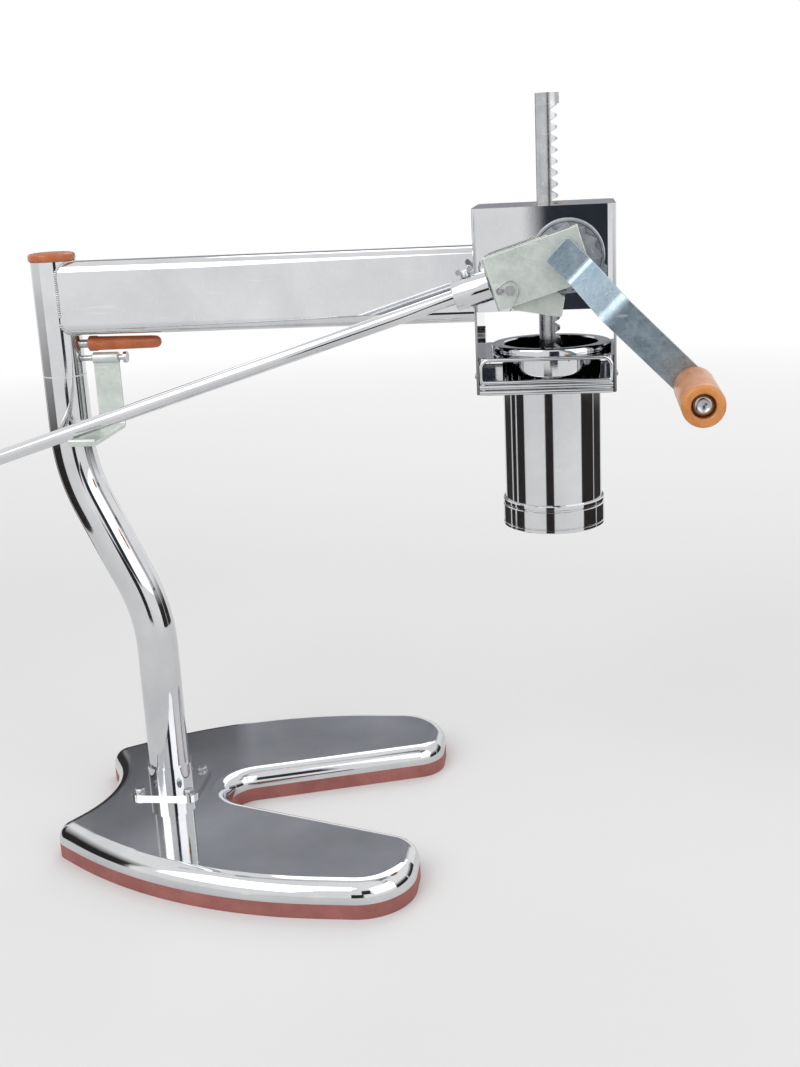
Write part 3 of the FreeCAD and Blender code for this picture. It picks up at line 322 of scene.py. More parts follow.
FINISHES = (
    Finish("mirror_chrome", "mirror_chrome", (0.58, 0.59, 0.61), (0.72, 0.725, 0.735), (0.86, 0.86, 0.86),
           1.0, (0.02, 0.085), 14.0, 900.0, 0.000005, scratch_tone=0.25, speck_tone=0.12),
    Finish("bright_steel", "bright_steel", (0.38, 0.39, 0.40), (0.58, 0.59, 0.60), (0.78, 0.78, 0.78),
           1.0, (0.16, 0.34), 60.0, 700.0, 0.00002, stretch=(1.0, 1.0, 6.0), scratch_tone=0.4),
    # satin_steel's warm cream worn tone is a painted highlight, standing in for the light that the ratchet
    # wheel's teeth catch
    Finish("satin_steel", "bright_steel", (0.40, 0.42, 0.45), (0.62, 0.64, 0.67), (0.88, 0.84, 0.74),
           1.0, (0.26, 0.44), 50.0, 600.0, 0.00002, scratch_tone=0.4),
    Finish("pale_zinc", "pale_zinc", (0.50, 0.56, 0.53), (0.72, 0.76, 0.72), (0.88, 0.88, 0.82),
           0.55, (0.30, 0.52), 55.0, 1300.0, 0.00003, scratch_tone=0.35, speck_tone=0.3, spangle_scale=520.0,
           spangle_tone=0.22),
    Finish("blue_zinc", "blue_zinc", (0.27, 0.37, 0.45), (0.42, 0.52, 0.60), (0.78, 0.84, 0.86),
           0.78, (0.22, 0.42), 45.0, 1200.0, 0.00003, stretch=(1.0, 1.6, 1.0), scratch_tone=0.4,
           speck_tone=0.3, spangle_scale=620.0, spangle_tone=0.2),
    Finish("orange_plastic", "orange_plastic", (0.40, 0.085, 0.022), (0.56, 0.15, 0.04), (0.74, 0.30, 0.12),
           0.0, (0.28, 0.5), 70.0, 1500.0, 0.00004, scratch_tone=0.3, speck_tone=0.3, coat=0.25),
    Finish("amber_plastic", "orange_plastic", (0.50, 0.16, 0.035), (0.72, 0.30, 0.08), (0.86, 0.48, 0.24),
           0.0, (0.28, 0.5), 70.0, 1500.0, 0.00004, scratch_tone=0.3, speck_tone=0.3, coat=0.25),
    Finish("pad_terracotta", "pad_terracotta", (0.28, 0.095, 0.085), (0.42, 0.155, 0.135), (0.56, 0.26, 0.22),
           0.0, (0.6, 0.85), 40.0, 1400.0, 0.00012, scratch_tone=0.2, speck_tone=0.45, speck_least=0.58),
    Finish("cast_weight", "cast_weight", (0.03, 0.03, 0.03), (0.08, 0.08, 0.08), (0.2, 0.19, 0.18),
           0.6, (0.5, 0.8), 60.0, 600.0, 0.0002),
    Finish("bronze", "bronze", (0.34, 0.19, 0.07), (0.56, 0.37, 0.16), (0.75, 0.58, 0.32),
           1.0, (0.18, 0.38), 60.0, 900.0, 0.00003),
    Finish("seal_rubber", "seal_rubber", (0.012, 0.012, 0.012), (0.035, 0.035, 0.035), (0.09, 0.09, 0.09),
           0.0, (0.45, 0.7), 60.0, 1500.0, 0.00005),
    Finish("washer_nylon", "washer_nylon", (0.60, 0.59, 0.55), (0.76, 0.75, 0.71), (0.85, 0.85, 0.82),
           0.0, (0.35, 0.55), 60.0, 1200.0, 0.00003),
)


class Workshop:
    """What every sub-assembly needs: the frame, the materials and ways to make a piece."""

    def __init__(self, frame: dict) -> None:
        """Build the materials.
        """
        self.frame = frame
        self.finishes = {finish.name: finish for finish in FINISHES}
        effects = Effects()
        self.faces = {finish.name: finish.material(effects) for finish in FINISHES}
        self.edges = {finish.name: finish.material(effects, edge=True) for finish in FINISHES}

    def joint_place(self, name: str) -> Vector:
        """Give the place of a joint of the frame, in millimetres."""
        place = next(joint["pos_m"] for joint in self.frame["joints"] if joint["name"] == name)
        return Vector(place) / METRES

    def dress(self, node: str, finish: str) -> None:
        """Give a CAD node that stays the material of a finish."""
        piece = self.frame["nodes"][node]
        if not piece.material_slots:
            piece.data.materials.append(None)
        for holder in piece.material_slots:
            holder.material = self.faces[finish]

    def settle(self, piece: bpy.types.Object, body: str, nodes: Sequence[str] = ()) -> None:
        """Args:
            piece: the finished object.
            body: the CAD body that carries it.
            nodes: CAD nodes that it stands for.
        """
        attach(piece, body)
        if nodes:
            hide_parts(*nodes)
        LOG.info("%s rides on %s, stands for %s", piece.name, body, ", ".join(nodes) or "nothing")

    def from_tree(self, name: str, tree: bpy.types.NodeTree, values: dict[str, object], finish: str,
                  points: Sequence[Vector] = (), lines: bool = False) -> bpy.types.Object:
        """Run a geometry tree on some points and keep its result as a plain mesh.

        Args:
            name: the new object's name.
            tree: the geometry node tree.
            values: the tree's inputs by name.
            finish: the finish that the tree's material input gets.
            points: millimetre points that the tree receives.
            lines: whether edges join the points in turn.

        Returns:
            The finished object.
        """
        carrier = bpy.data.meshes.new(name + "_points")
        steps = [(i, i + 1) for i in range(len(points) - 1)] if lines else []
        carrier.from_pydata([tuple(Vector(point) * METRES) for point in points], steps, [])
        holder = bpy.data.objects.new(name + "_carrier", carrier)
        bpy.context.scene.collection.objects.link(holder)
        modifier = holder.modifiers.new("Shape", "NODES")
        modifier.node_group = tree
        values = dict(values, Material=self.faces[finish])
        for item in tree.interface.items_tree:
            if item.in_out == "INPUT" and item.name in values:
                modifier[item.identifier] = values[item.name]
        graph = bpy.context.evaluated_depsgraph_get()
        made = bpy.data.meshes.new_from_object(holder.evaluated_get(graph), depsgraph=graph)
        made.name = name
        bpy.data.objects.remove(holder)
        bpy.data.meshes.remove(carrier)
        piece = bpy.data.objects.new(name, made)
        bpy.context.scene.collection.objects.link(piece)
        return piece


class Shape:
    """A mesh under construction, in millimetres of the part's frame."""

    def __init__(self) -> None:
        """Start empty."""
        self.mesh = bmesh.new()

    def prism(self, outline: Iterable[Point], start: float, end: float, place: Matrix = Matrix()) -> "Shape":
        """Add a plate of some outline.

        Args:
            outline: corners in the place's own x and y.
            start: where it starts along the place's own z.
            end: where it ends.
            place: the plate's own axes.

        Returns:
            The shape itself.
        """
        corners = list(outline)
        rings = [[self.mesh.verts.new(place @ Vector((x, y, z))) for x, y in corners] for z in (start, end)]
        for ring in rings:
            self.mesh.faces.new(ring)
        self._walls(rings)
        return self

    def lathe(self, profile: Iterable[Point], place: Matrix, steps: int = 72) -> "Shape":
        """Add a turned form.

        Args:
            profile: radius and height pairs, from one end of the axis or bore to the other.
            place: axes whose z is the turning axis.
            steps: faces round the axis.

        Returns:
            The shape itself.
        """
        rings = []
        turns = [math.tau * i / steps for i in range(steps)]
        for radius, height in profile:
            if radius < 1e-6:
                rings.append([self.mesh.verts.new(place @ Vector((0.0, 0.0, height)))])
                continue
            spots = [Vector((radius * math.cos(a), radius * math.sin(a), height)) for a in turns]
            rings.append([self.mesh.verts.new(place @ spot) for spot in spots])
        closed = len(rings[0]) > 1 and len(rings[-1]) > 1
        self._walls(rings + rings[:1] if closed else rings)
        return self

    def tube(self, path: Sequence[Vector], radius: float, steps: int = 12, closed: bool = False) -> "Shape":
        """Add a round bar along points.

        Args:
            path: the centre line.
            radius: the bar's radius.
            steps: faces round it.
            closed: whether its end meets its start.

        Returns:
            The shape itself.
        """
        rings = []
        count = len(path)
        for i, point in enumerate(path):
            before = path[(i - 1) % count] if closed or i else point
            after = path[(i + 1) % count] if closed or i < count - 1 else point
            way = (after - before).normalized()
            side = way.orthogonal().normalized() if not rings else (side - way * side.dot(way)).normalized()
            up = way.cross(side)
            rings.append([self.mesh.verts.new(point + (side * math.cos(math.tau * k / steps)
                                                       + up * math.sin(math.tau * k / steps)) * radius)
                          for k in range(steps)])
        if closed:
            rings.append(rings[0])
        else:
            self.mesh.faces.new(rings[0])
            self.mesh.faces.new(rings[-1])
        self._walls(rings)
        return self

    def _walls(self, rings: list[list[bmesh.types.BMVert]]) -> None:
        """Join neighbouring rings of points with faces."""
        for low, high in zip(rings, rings[1:]):
            count = max(len(low), len(high))
            for i in range(count):
                j = (i + 1) % count
                if len(low) == 1:
                    self.mesh.faces.new((low[0], high[j], high[i]))
                elif len(high) == 1:
                    self.mesh.faces.new((low[i], low[j], high[0]))
                else:
                    self.mesh.faces.new((low[i], low[j], high[j], high[i]))

    def piece(self, name: str, shop: Workshop, finish: str, bevel: float = 0.0,
              sharp: float = 35.0) -> bpy.types.Object:
        """Turn the shape into an object in metres.

        Args:
            name: the object's name.
            shop: where its materials come from.
            finish: its finish.
            bevel: the width of its rubbed edges in millimetres, or none.
            sharp: the least angle of an edge that gets a bevel or stays crisp, in degrees.

        Returns:
            The new object.
        """
        bmesh.ops.remove_doubles(self.mesh, verts=self.mesh.verts, dist=1e-4)
        bmesh.ops.recalc_face_normals(self.mesh, faces=self.mesh.faces)
        self.mesh.transform(Matrix.Scale(METRES, 4))
        data = bpy.data.meshes.new(name)
        self.mesh.to_mesh(data)
        self.mesh.free()
        data.materials.append(shop.faces[finish])
        data.shade_smooth()
        piece = bpy.data.objects.new(name, data)
        bpy.context.scene.collection.objects.link(piece)
        if bevel:
            data.materials.append(shop.edges[finish])
            round_off = piece.modifiers.new("RubbedEdges", "BEVEL")
            round_off.width = bevel * METRES
            round_off.segments = 2
            round_off.limit_method = "ANGLE"
            round_off.angle_limit = math.radians(sharp)
            round_off.harden_normals = True
            round_off.material = 1
        else:
            data.set_sharp_from_angle(angle=math.radians(sharp))
        return piece

    def settled(self, name: str, shop: Workshop, finish: str, body: str, nodes: Sequence[str] = (),
                bevel: float = 0.0, sharp: float = 35.0) -> None:
        """Args:
            name: the object's name.
            shop: where its materials come from.
            finish: its finish.
            body: the CAD body that carries it.
            nodes: CAD nodes that it stands for.
            bevel: the width of its rubbed edges in millimetres, or none.
            sharp: the least angle of an edge that gets a bevel or stays crisp, in degrees.
        """
        shop.settle(self.piece(name, shop, finish, bevel, sharp), body, nodes)


def rounded(corners: Sequence[tuple[float, float, float]], steps: int = 6) -> list[Point]:
    """Round the corners of an outline.

    Args:
        corners: x, y and radius of each corner.
        steps: segments of each arc.

    Returns:
        The outline's points.
    """
    points: list[Point] = []
    count = len(corners)
    for i, (x, y, radius) in enumerate(corners):
        here = Vector((x, y))
        if radius <= 0.0:
            points.append((x, y))
            continue
        back = (Vector(corners[i - 1][:2]) - here).normalized()
        ahead = (Vector(corners[(i + 1) % count][:2]) - here).normalized()
        half = back.angle(ahead) / 2
        centre = here + (back + ahead).normalized() * radius / math.sin(half)
        first = here + back * radius / math.tan(half) - centre
        last = here + ahead * radius / math.tan(half) - centre
        turn = first.angle_signed(last)
        for k in range(steps + 1):
            spot = centre + Matrix.Rotation(-turn * k / steps, 2) @ first
            points.append((spot.x, spot.y))
    return points


def turned(radius: float, low: float, high: float, bend: float, steps: int = 5,
           inner: float = 0.0) -> list[Point]:
    """Give the profile of a round bar with both rims rounded.

    Args:
        radius: the bar's radius.
        low: where it starts.
        high: where it ends.
        bend: the radius of its rims.
        steps: segments of each rim.
        inner: the bore's radius, or none.

    Returns:
        Radius and height pairs.
    """
    turns = [math.pi / 2 * k / steps for k in range(steps + 1)]
    foot = [(radius - bend + bend * math.sin(a), low + bend - bend * math.cos(a)) for a in turns]
    head = [(radius - bend + bend * math.cos(a), high - bend + bend * math.sin(a)) for a in turns]
    return [(inner, low), *foot, *head, (inner, high)]


def axes(origin: Vector, along: Vector, across: Vector) -> Matrix:
    """Build a place from its origin and its own z and x directions."""
    z = Vector(along).normalized()
    x = Vector(across).normalized()
    y = z.cross(x)
    return Matrix((*[(x[i], y[i], z[i], origin[i]) for i in range(3)], (0.0, 0.0, 0.0, 1.0)))


class Trees:
    """Geometry node trees for what repeats or follows a rule."""

    def __init__(self) -> None:
        """Build every tree."""
        self.bead = self._bead()
        self.bolts = self._bolts()
        self.rivets = self._rivets()
        self.sweep = self._sweep()
        self.ratchet = self._ratchet()
        self.thread = self._thread()

    @staticmethod
    def _start(name: str, inputs: dict[str, Socket]) -> tuple:
        """Start a tree that takes geometry and a material and gives geometry."""
        return new_group(name, "GeometryNodeTree",
                         {"Geometry": Socket.GEOMETRY, **inputs, "Material": Socket.MATERIAL},
                         {"Geometry": Socket.GEOMETRY})

    @staticmethod
    def _end(graph: Graph, shape: bpy.types.NodeSocket, given: object, out: object,
             smooth: bool = True) -> None:
        """Realize instances, shade, set the material and give the result."""
        real = graph.add("GeometryNodeRealizeInstances", {0: shape})
        shaded = graph.add("GeometryNodeSetShadeSmooth", {"Geometry": real.outputs[0],
                                                          "Shade Smooth": smooth})
        done = graph.add("GeometryNodeSetMaterial", {"Geometry": shaded.outputs[0],
                                                     "Material": given["Material"]})
        graph.tree.links.new(done.outputs[0], out["Geometry"])

    @staticmethod
    def _scatter(graph: Graph, given: object, shape: bpy.types.NodeSocket) -> bpy.types.NodeSocket:
        """Put one shape on each of the tree's points."""
        spots = graph.add("GeometryNodeInstanceOnPoints", {"Points": given["Geometry"], "Instance": shape})
        return spots.outputs[0]

    @staticmethod
    def _placed(graph: Graph, given: object, shape: bpy.types.NodeSocket) -> bpy.types.NodeSocket:
        """Move and turn a shape by the tree's own Place and Turn."""
        moved = graph.add("GeometryNodeTransform", {"Geometry": shape, "Translation": given["Place"],
                                                    "Rotation": given["Turn"]})
        return moved.outputs[0]

    def _bead(self) -> bpy.types.NodeTree:
        """A weld bead: overlapping drops of uneven size along a line."""
        tree, graph, given, out = self._start(
            "WeldBead", {"Drop Radius": Socket.FLOAT, "Drop Step": Socket.FLOAT, "Seed": Socket.WHOLE})
        line = graph.add("GeometryNodeMeshToCurve", {0: given["Geometry"]})
        even = graph.add("GeometryNodeResampleCurve", {"Curve": line.outputs[0],
                                                          "Length": given["Drop Step"]}, mode="LENGTH")
        drop = graph.add("GeometryNodeMeshIcoSphere", {"Radius": given["Drop Radius"], "Subdivisions": 2})
        size = graph.add("FunctionNodeRandomValue", {"Seed": given["Seed"]}, data_type="FLOAT_VECTOR")
        size.inputs[0].default_value = (0.75, 0.75, 0.75)
        size.inputs[1].default_value = (1.15, 1.15, 1.15)
        drops = graph.add("GeometryNodeInstanceOnPoints", {
            "Points": even.outputs[0], "Instance": drop.outputs[0], "Scale": size.outputs[0]})
        self._end(graph, drops.outputs[0], given, out)
        return tree

    def _bolts(self) -> bpy.types.NodeTree:
        """Bolts on points: a washer, a six-sided head and a raised crown, with a shank below."""
        tree, graph, given, out = self._start(
            "Bolts", {"Washer Radius": Socket.FLOAT, "Head Radius": Socket.FLOAT, "Height": Socket.FLOAT,
                      "Shank Radius": Socket.FLOAT, "Shank": Socket.FLOAT})
        washer, body, seat = (graph.maths("MULTIPLY", given["Height"], share) for share in (0.22, 0.56, 0.78))
        crown = graph.maths("MULTIPLY", given["Head Radius"], 0.78)
        layers = [
            (24, given["Washer Radius"], given["Washer Radius"], washer, 0.0),
            (6, given["Head Radius"], given["Head Radius"], body, washer),
            (6, given["Head Radius"], crown, washer, seat),
            (16, given["Shank Radius"], given["Shank Radius"], given["Shank"],
             graph.maths("MULTIPLY", given["Shank"], -1.0)),
        ]
        join = graph.add("GeometryNodeJoinGeometry")
        for sides, low, high, depth, start in layers:
            part = graph.add("GeometryNodeMeshCone", {"Vertices": sides, "Radius Top": high,
                                                      "Radius Bottom": low, "Depth": depth})
            lift = graph.add("ShaderNodeCombineXYZ", {2: start})
            moved = graph.add("GeometryNodeTransform", {"Geometry": part.outputs[0],
                                                        "Translation": lift.outputs[0]})
            graph.tree.links.new(moved.outputs[0], join.inputs[0])
        self._end(graph, self._scatter(graph, given, join.outputs[0]), given, out, smooth=False)
        return tree

    def _rivets(self) -> bpy.types.NodeTree:
        """Low round heads on points, flattened along one axis."""
        tree, graph, given, out = self._start("Rivets", {"Radius": Socket.FLOAT, "Flatten": Socket.VECTOR})
        head = graph.add("GeometryNodeMeshUVSphere", {"Segments": 20, "Rings": 12, "Radius": given["Radius"]})
        flat = graph.add("GeometryNodeTransform", {"Geometry": head.outputs[0], "Scale": given["Flatten"]})
        self._end(graph, self._scatter(graph, given, flat.outputs[0]), given, out)
        return tree

    def _sweep(self) -> bpy.types.NodeTree:
        """A round tube along a line whose corners are bent to a radius."""
        tree, graph, given, out = self._start(
            "BentTube", {"Radius": Socket.FLOAT, "Bend Radius": Socket.FLOAT})
        line = graph.add("GeometryNodeMeshToCurve", {0: given["Geometry"]})
        bent = graph.add("GeometryNodeFilletCurve", {"Curve": line.outputs[0], "Radius": given["Bend Radius"],
                                                     "Count": 24}, mode="POLY")
        ring = graph.add("GeometryNodeCurvePrimitiveCircle", {"Resolution": 64, "Radius": given["Radius"]})
        wall = graph.add("GeometryNodeCurveToMesh", {
            "Curve": bent.outputs[0], "Profile Curve": ring.outputs[0], "Fill Caps": True})
        self._end(graph, wall.outputs[0], given, out)
        return tree

    def _ratchet(self) -> bpy.types.NodeTree:
        """A ratchet wheel: leaning teeth round a disc of some width, centred on its own axis."""
        tree, graph, given, out = self._start(
            "Ratchet", {"Teeth": Socket.WHOLE, "Tip Radius": Socket.FLOAT, "Root Radius": Socket.FLOAT,
                        "Lean": Socket.FLOAT, "Width": Socket.FLOAT, "Place": Socket.VECTOR,
                        "Turn": Socket.VECTOR})
        star = graph.add("GeometryNodeCurveStar", {
            "Points": given["Teeth"], "Inner Radius": given["Root Radius"],
            "Outer Radius": given["Tip Radius"], "Twist": given["Lean"]})
        face = graph.add("GeometryNodeFillCurve", {"Curve": star.outputs[0]}, mode="NGONS")
        back = graph.add("GeometryNodeFlipFaces", {0: face.outputs[0]})
        up = graph.add("ShaderNodeCombineXYZ", {2: given["Width"]})
        wall = graph.add("GeometryNodeExtrudeMesh", {"Mesh": face.outputs[0], "Offset": up.outputs[0],
                                                     "Individual": False})
        join = graph.add("GeometryNodeJoinGeometry")
        for part in (wall, back):
            graph.tree.links.new(part.outputs[0], join.inputs[0])
        whole = graph.add("GeometryNodeMergeByDistance", {"Geometry": join.outputs[0], "Distance": 1e-6})
        self._end(graph, self._placed(graph, given, whole.outputs[0]), given, out, smooth=False)
        return tree

    def _thread(self) -> bpy.types.NodeTree:
        """A screw thread: a low ridge wound round a straight line's own axis."""
        tree, graph, given, out = self._start(
            "Thread", {"Turns": Socket.FLOAT, "Radius": Socket.FLOAT, "Length": Socket.FLOAT,
                       "Ridge": Socket.FLOAT, "Place": Socket.VECTOR, "Turn": Socket.VECTOR})
        coil = graph.add("GeometryNodeCurveSpiral", {
            "Resolution": 28, "Rotations": given["Turns"], "Start Radius": given["Radius"],
            "End Radius": given["Radius"], "Height": given["Length"]})
        ridge = graph.add("GeometryNodeCurvePrimitiveCircle", {"Resolution": 6, "Radius": given["Ridge"]})
        wall = graph.add("GeometryNodeCurveToMesh", {
            "Curve": coil.outputs[0], "Profile Curve": ridge.outputs[0], "Fill Caps": True})
        self._end(graph, self._placed(graph, given, wall.outputs[0]), given, out)
        return tree


@dataclass
class Stand:
    """The weighted foot, its post and the bolts that join them."""

    post_radius: float = 15.5
    bend_radius: float = 138.0
    bend_low: float = 168.7
    bend_high: float = 281.4
    foot: float = 25.0
    bolt_spacing: float = 39.0
    bolt_washer: float = 4.6
    bolt_head: float = 4.1
    bolt_height: float = 3.0
    bolt_shank: float = 4.5
    bolt_shank_radius: float = 2.4
    bolt_seat: float = 28.0

    def build(self, shop: Workshop, trees: Trees) -> None:
        """Make and dress every piece of the stand."""
        for node, finish in (("base_shell", "mirror_chrome"), ("base_pad", "pad_terracotta"),
                             ("base_weight", "cast_weight"), ("post_flange", "mirror_chrome"),
                             ("post_spigot", "bright_steel"), ("swivel_washer", "washer_nylon")):
            shop.dress(node, finish)
        self._post(shop, trees)
        self._bolts(shop, trees)

    def _post(self, shop: Workshop, trees: Trees) -> None:
        """Sweep the post's tube along its two bends."""
        low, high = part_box("post_tube")
        offset = low.x / METRES + self.post_radius
        route = [Vector((0, 0, self.foot)), Vector((0, 0, self.bend_low)),
                 Vector((offset, 0, self.bend_high)), Vector((offset, 0, high.z / METRES))]
        tube = shop.from_tree("post_bent_tube", trees.sweep,
                              {"Radius": self.post_radius * METRES, "Bend Radius": self.bend_radius * METRES},
                              "mirror_chrome", route, lines=True)
        tube.data.set_sharp_from_angle(angle=math.radians(50))
        shop.settle(tube, "stand", ["post_tube"])

    def _bolts(self, shop: Workshop, trees: Trees) -> None:
        """Set the four bolts of the flange."""
        half = self.bolt_spacing / 2
        spots = [Vector((x * half, y * half, self.bolt_seat)) for x in (-1, 1) for y in (-1, 1)]
        bolts = shop.from_tree("flange_hex_bolts", trees.bolts, {
            "Washer Radius": self.bolt_washer * METRES, "Head Radius": self.bolt_head * METRES,
            "Height": self.bolt_height * METRES, "Shank Radius": self.bolt_shank_radius * METRES,
            "Shank": self.bolt_shank * METRES}, "bright_steel", spots)
        shop.settle(bolts, "stand", ["flange_bolts"])


@dataclass
class Arm:
    """The sleeve that swivels on the post, its cap, the beam and the clamp under it."""

    sleeve_x: float = -49.0
    sleeve_radius: float = 15.5
    cap_radius: float = 16.6
    cap_rim: float = 1.8
    cap_step: float = 0.4
    cap_step_foot: float = 3.4
    cap_step_top: float = 3.8
    beam_half_width: float = 14.0
    beam_corner: float = 8.0
    bead_radius: float = 1.15
    bead_step: float = 1.5
    clamp_screw_radius: float = 3.0
    clamp_turns: float = 6.0
    ridge: float = 0.28
    grip_radius: float = 5.5
    grip_end_radius: float = 4.3

    def build(self, shop: Workshop, trees: Trees) -> None:
        """Make and dress every piece of the arm."""
        for node, finish in (("arm_sleeve", "mirror_chrome"), ("arm_beam", "mirror_chrome"),
                             ("hook_pin", "bright_steel"), ("clamp_screw", "bright_steel")):
            shop.dress(node, finish)
        self._cap(shop)
        self._welds(shop, trees)
        self._clamp(shop, trees)

    def _cap(self, shop: Workshop) -> None:
        """Turn the flat cap with its rounded rim and shallow step."""
        low, high = (value.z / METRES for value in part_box("sleeve_cap"))
        place = axes(Vector((self.sleeve_x, 0, 0)), Vector((0, 0, 1)), Vector((1, 0, 0)))
        profile = turned(self.cap_radius, low, high - self.cap_step, self.cap_rim)
        profile[-1:] = [(self.cap_radius - self.cap_step_foot, high - self.cap_step),
                        (self.cap_radius - self.cap_step_top, high), (0.0, high)]
        Shape().lathe(profile, place).settled(
            "sleeve_cap_domed", shop, "orange_plastic", "arm", ["sleeve_cap"])

    def _outline(self) -> list[tuple[float, float]]:
        """Give the beam's outline across it, as y and z pairs, from its middle line."""
        low, high = (value.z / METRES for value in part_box("arm_beam"))
        w, r = self.beam_half_width, self.beam_corner
        return rounded([(-w, low, r), (w, low, r), (w, high, r), (-w, high, r)], steps=8)

    def _welds(self, shop: Workshop, trees: Trees) -> None:
        """Lay the weld beads round both ends of the beam."""
        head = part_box("head_housing")[0].x / METRES
        outline = self._outline()
        outline.append(outline[0])
        fine = [Vector(a).lerp(Vector(b), k / 6) for a, b in zip(outline, outline[1:]) for k in range(6)]
        sleeve = [Vector((self.sleeve_x + math.sqrt(self.sleeve_radius ** 2 - spot.x ** 2), spot.x, spot.y))
                  for spot in fine]
        plate = [Vector((head, spot.x, spot.y)) for spot in fine]
        for name, route in (("sleeve_weld", sleeve), ("head_weld", plate)):
            bead = shop.from_tree(name, trees.bead, {
                "Drop Radius": self.bead_radius * METRES, "Drop Step": self.bead_step * METRES, "Seed": SEED},
                "bright_steel", route, lines=True)
            shop.settle(bead, "arm")

    def _clamp(self, shop: Workshop, trees: Trees) -> None:
        """Turn the clamp's tapered grip and wind the thread on its screw."""
        low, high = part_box("clamp_grip")
        start, end = low.x / METRES, high.x / METRES
        centre = (low.z + high.z) / 2 / METRES
        place = axes(Vector((0, 0, centre)), Vector((1, 0, 0)), Vector((0, 1, 0)))
        profile = [(0.0, start), (self.grip_radius - 1.2, start), (self.grip_radius, start + 0.8),
                   (self.grip_radius, start + 6), (self.grip_radius - 0.5, start + 7.2),
                   (self.grip_end_radius + 0.2, end - 7)]
        profile += [(self.grip_end_radius * math.cos(a), end - self.grip_end_radius
                     + self.grip_end_radius * math.sin(a)) for a in (k * math.pi / 16 for k in range(9))]
        Shape().lathe(profile, place, 48).settled(
            "clamp_grip_tapered", shop, "orange_plastic", "clamp", ["clamp_grip"])
        low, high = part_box("clamp_screw")
        thread = shop.from_tree("clamp_thread", trees.thread, {
            "Turns": self.clamp_turns, "Radius": (self.clamp_screw_radius - self.ridge * 0.6) * METRES,
            "Length": high.x - low.x, "Ridge": self.ridge * METRES,
            "Place": (low.x, 0.0, (low.z + high.z) / 2), "Turn": (0.0, math.pi / 2, 0.0)}, "bright_steel",
            [Vector()])
        shop.settle(thread, "clamp")


@dataclass
class LeverHook:
    """The strap that hangs from the sleeve and holds the lever's rod."""

    half_sheet: float = 1.5
    knuckle_radius: float = 4.0
    nose: float = 4.0
    bend: float = 3.0

    def build(self, shop: Workshop) -> None:
        """Make the strap with its rolled knuckle."""
        low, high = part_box("lever_hook")
        pin = shop.joint_place("hook_swing")
        foot = low.z / METRES - pin.z
        t = self.half_sheet
        tip = low.y / METRES
        place = axes(Vector((0, 0, pin.z)), Vector((1, 0, 0)), Vector((0, 1, 0)))
        outline = rounded([
            (-t, 0.0, 0.0), (-t, foot + 2 * t, self.bend - t), (tip + 2 * t, foot + 2 * t, 0.8),
            (tip + t, foot + self.nose + t, 0.6), (tip, foot + self.nose, 0.6), (tip + t, foot, 1.2),
            (t, foot, self.bend + t), (t, 0.0, 0.0)])
        strap = Shape().prism(outline, low.x / METRES, high.x / METRES, place)
        knuckle = turned(self.knuckle_radius, low.x / METRES, high.x / METRES, 0.5, 3, 2.05)
        strap.lathe(knuckle, place, 40)
        strap.settled("lever_hook_strap", shop, "pale_zinc", "hook", ["lever_hook"], bevel=0.35)


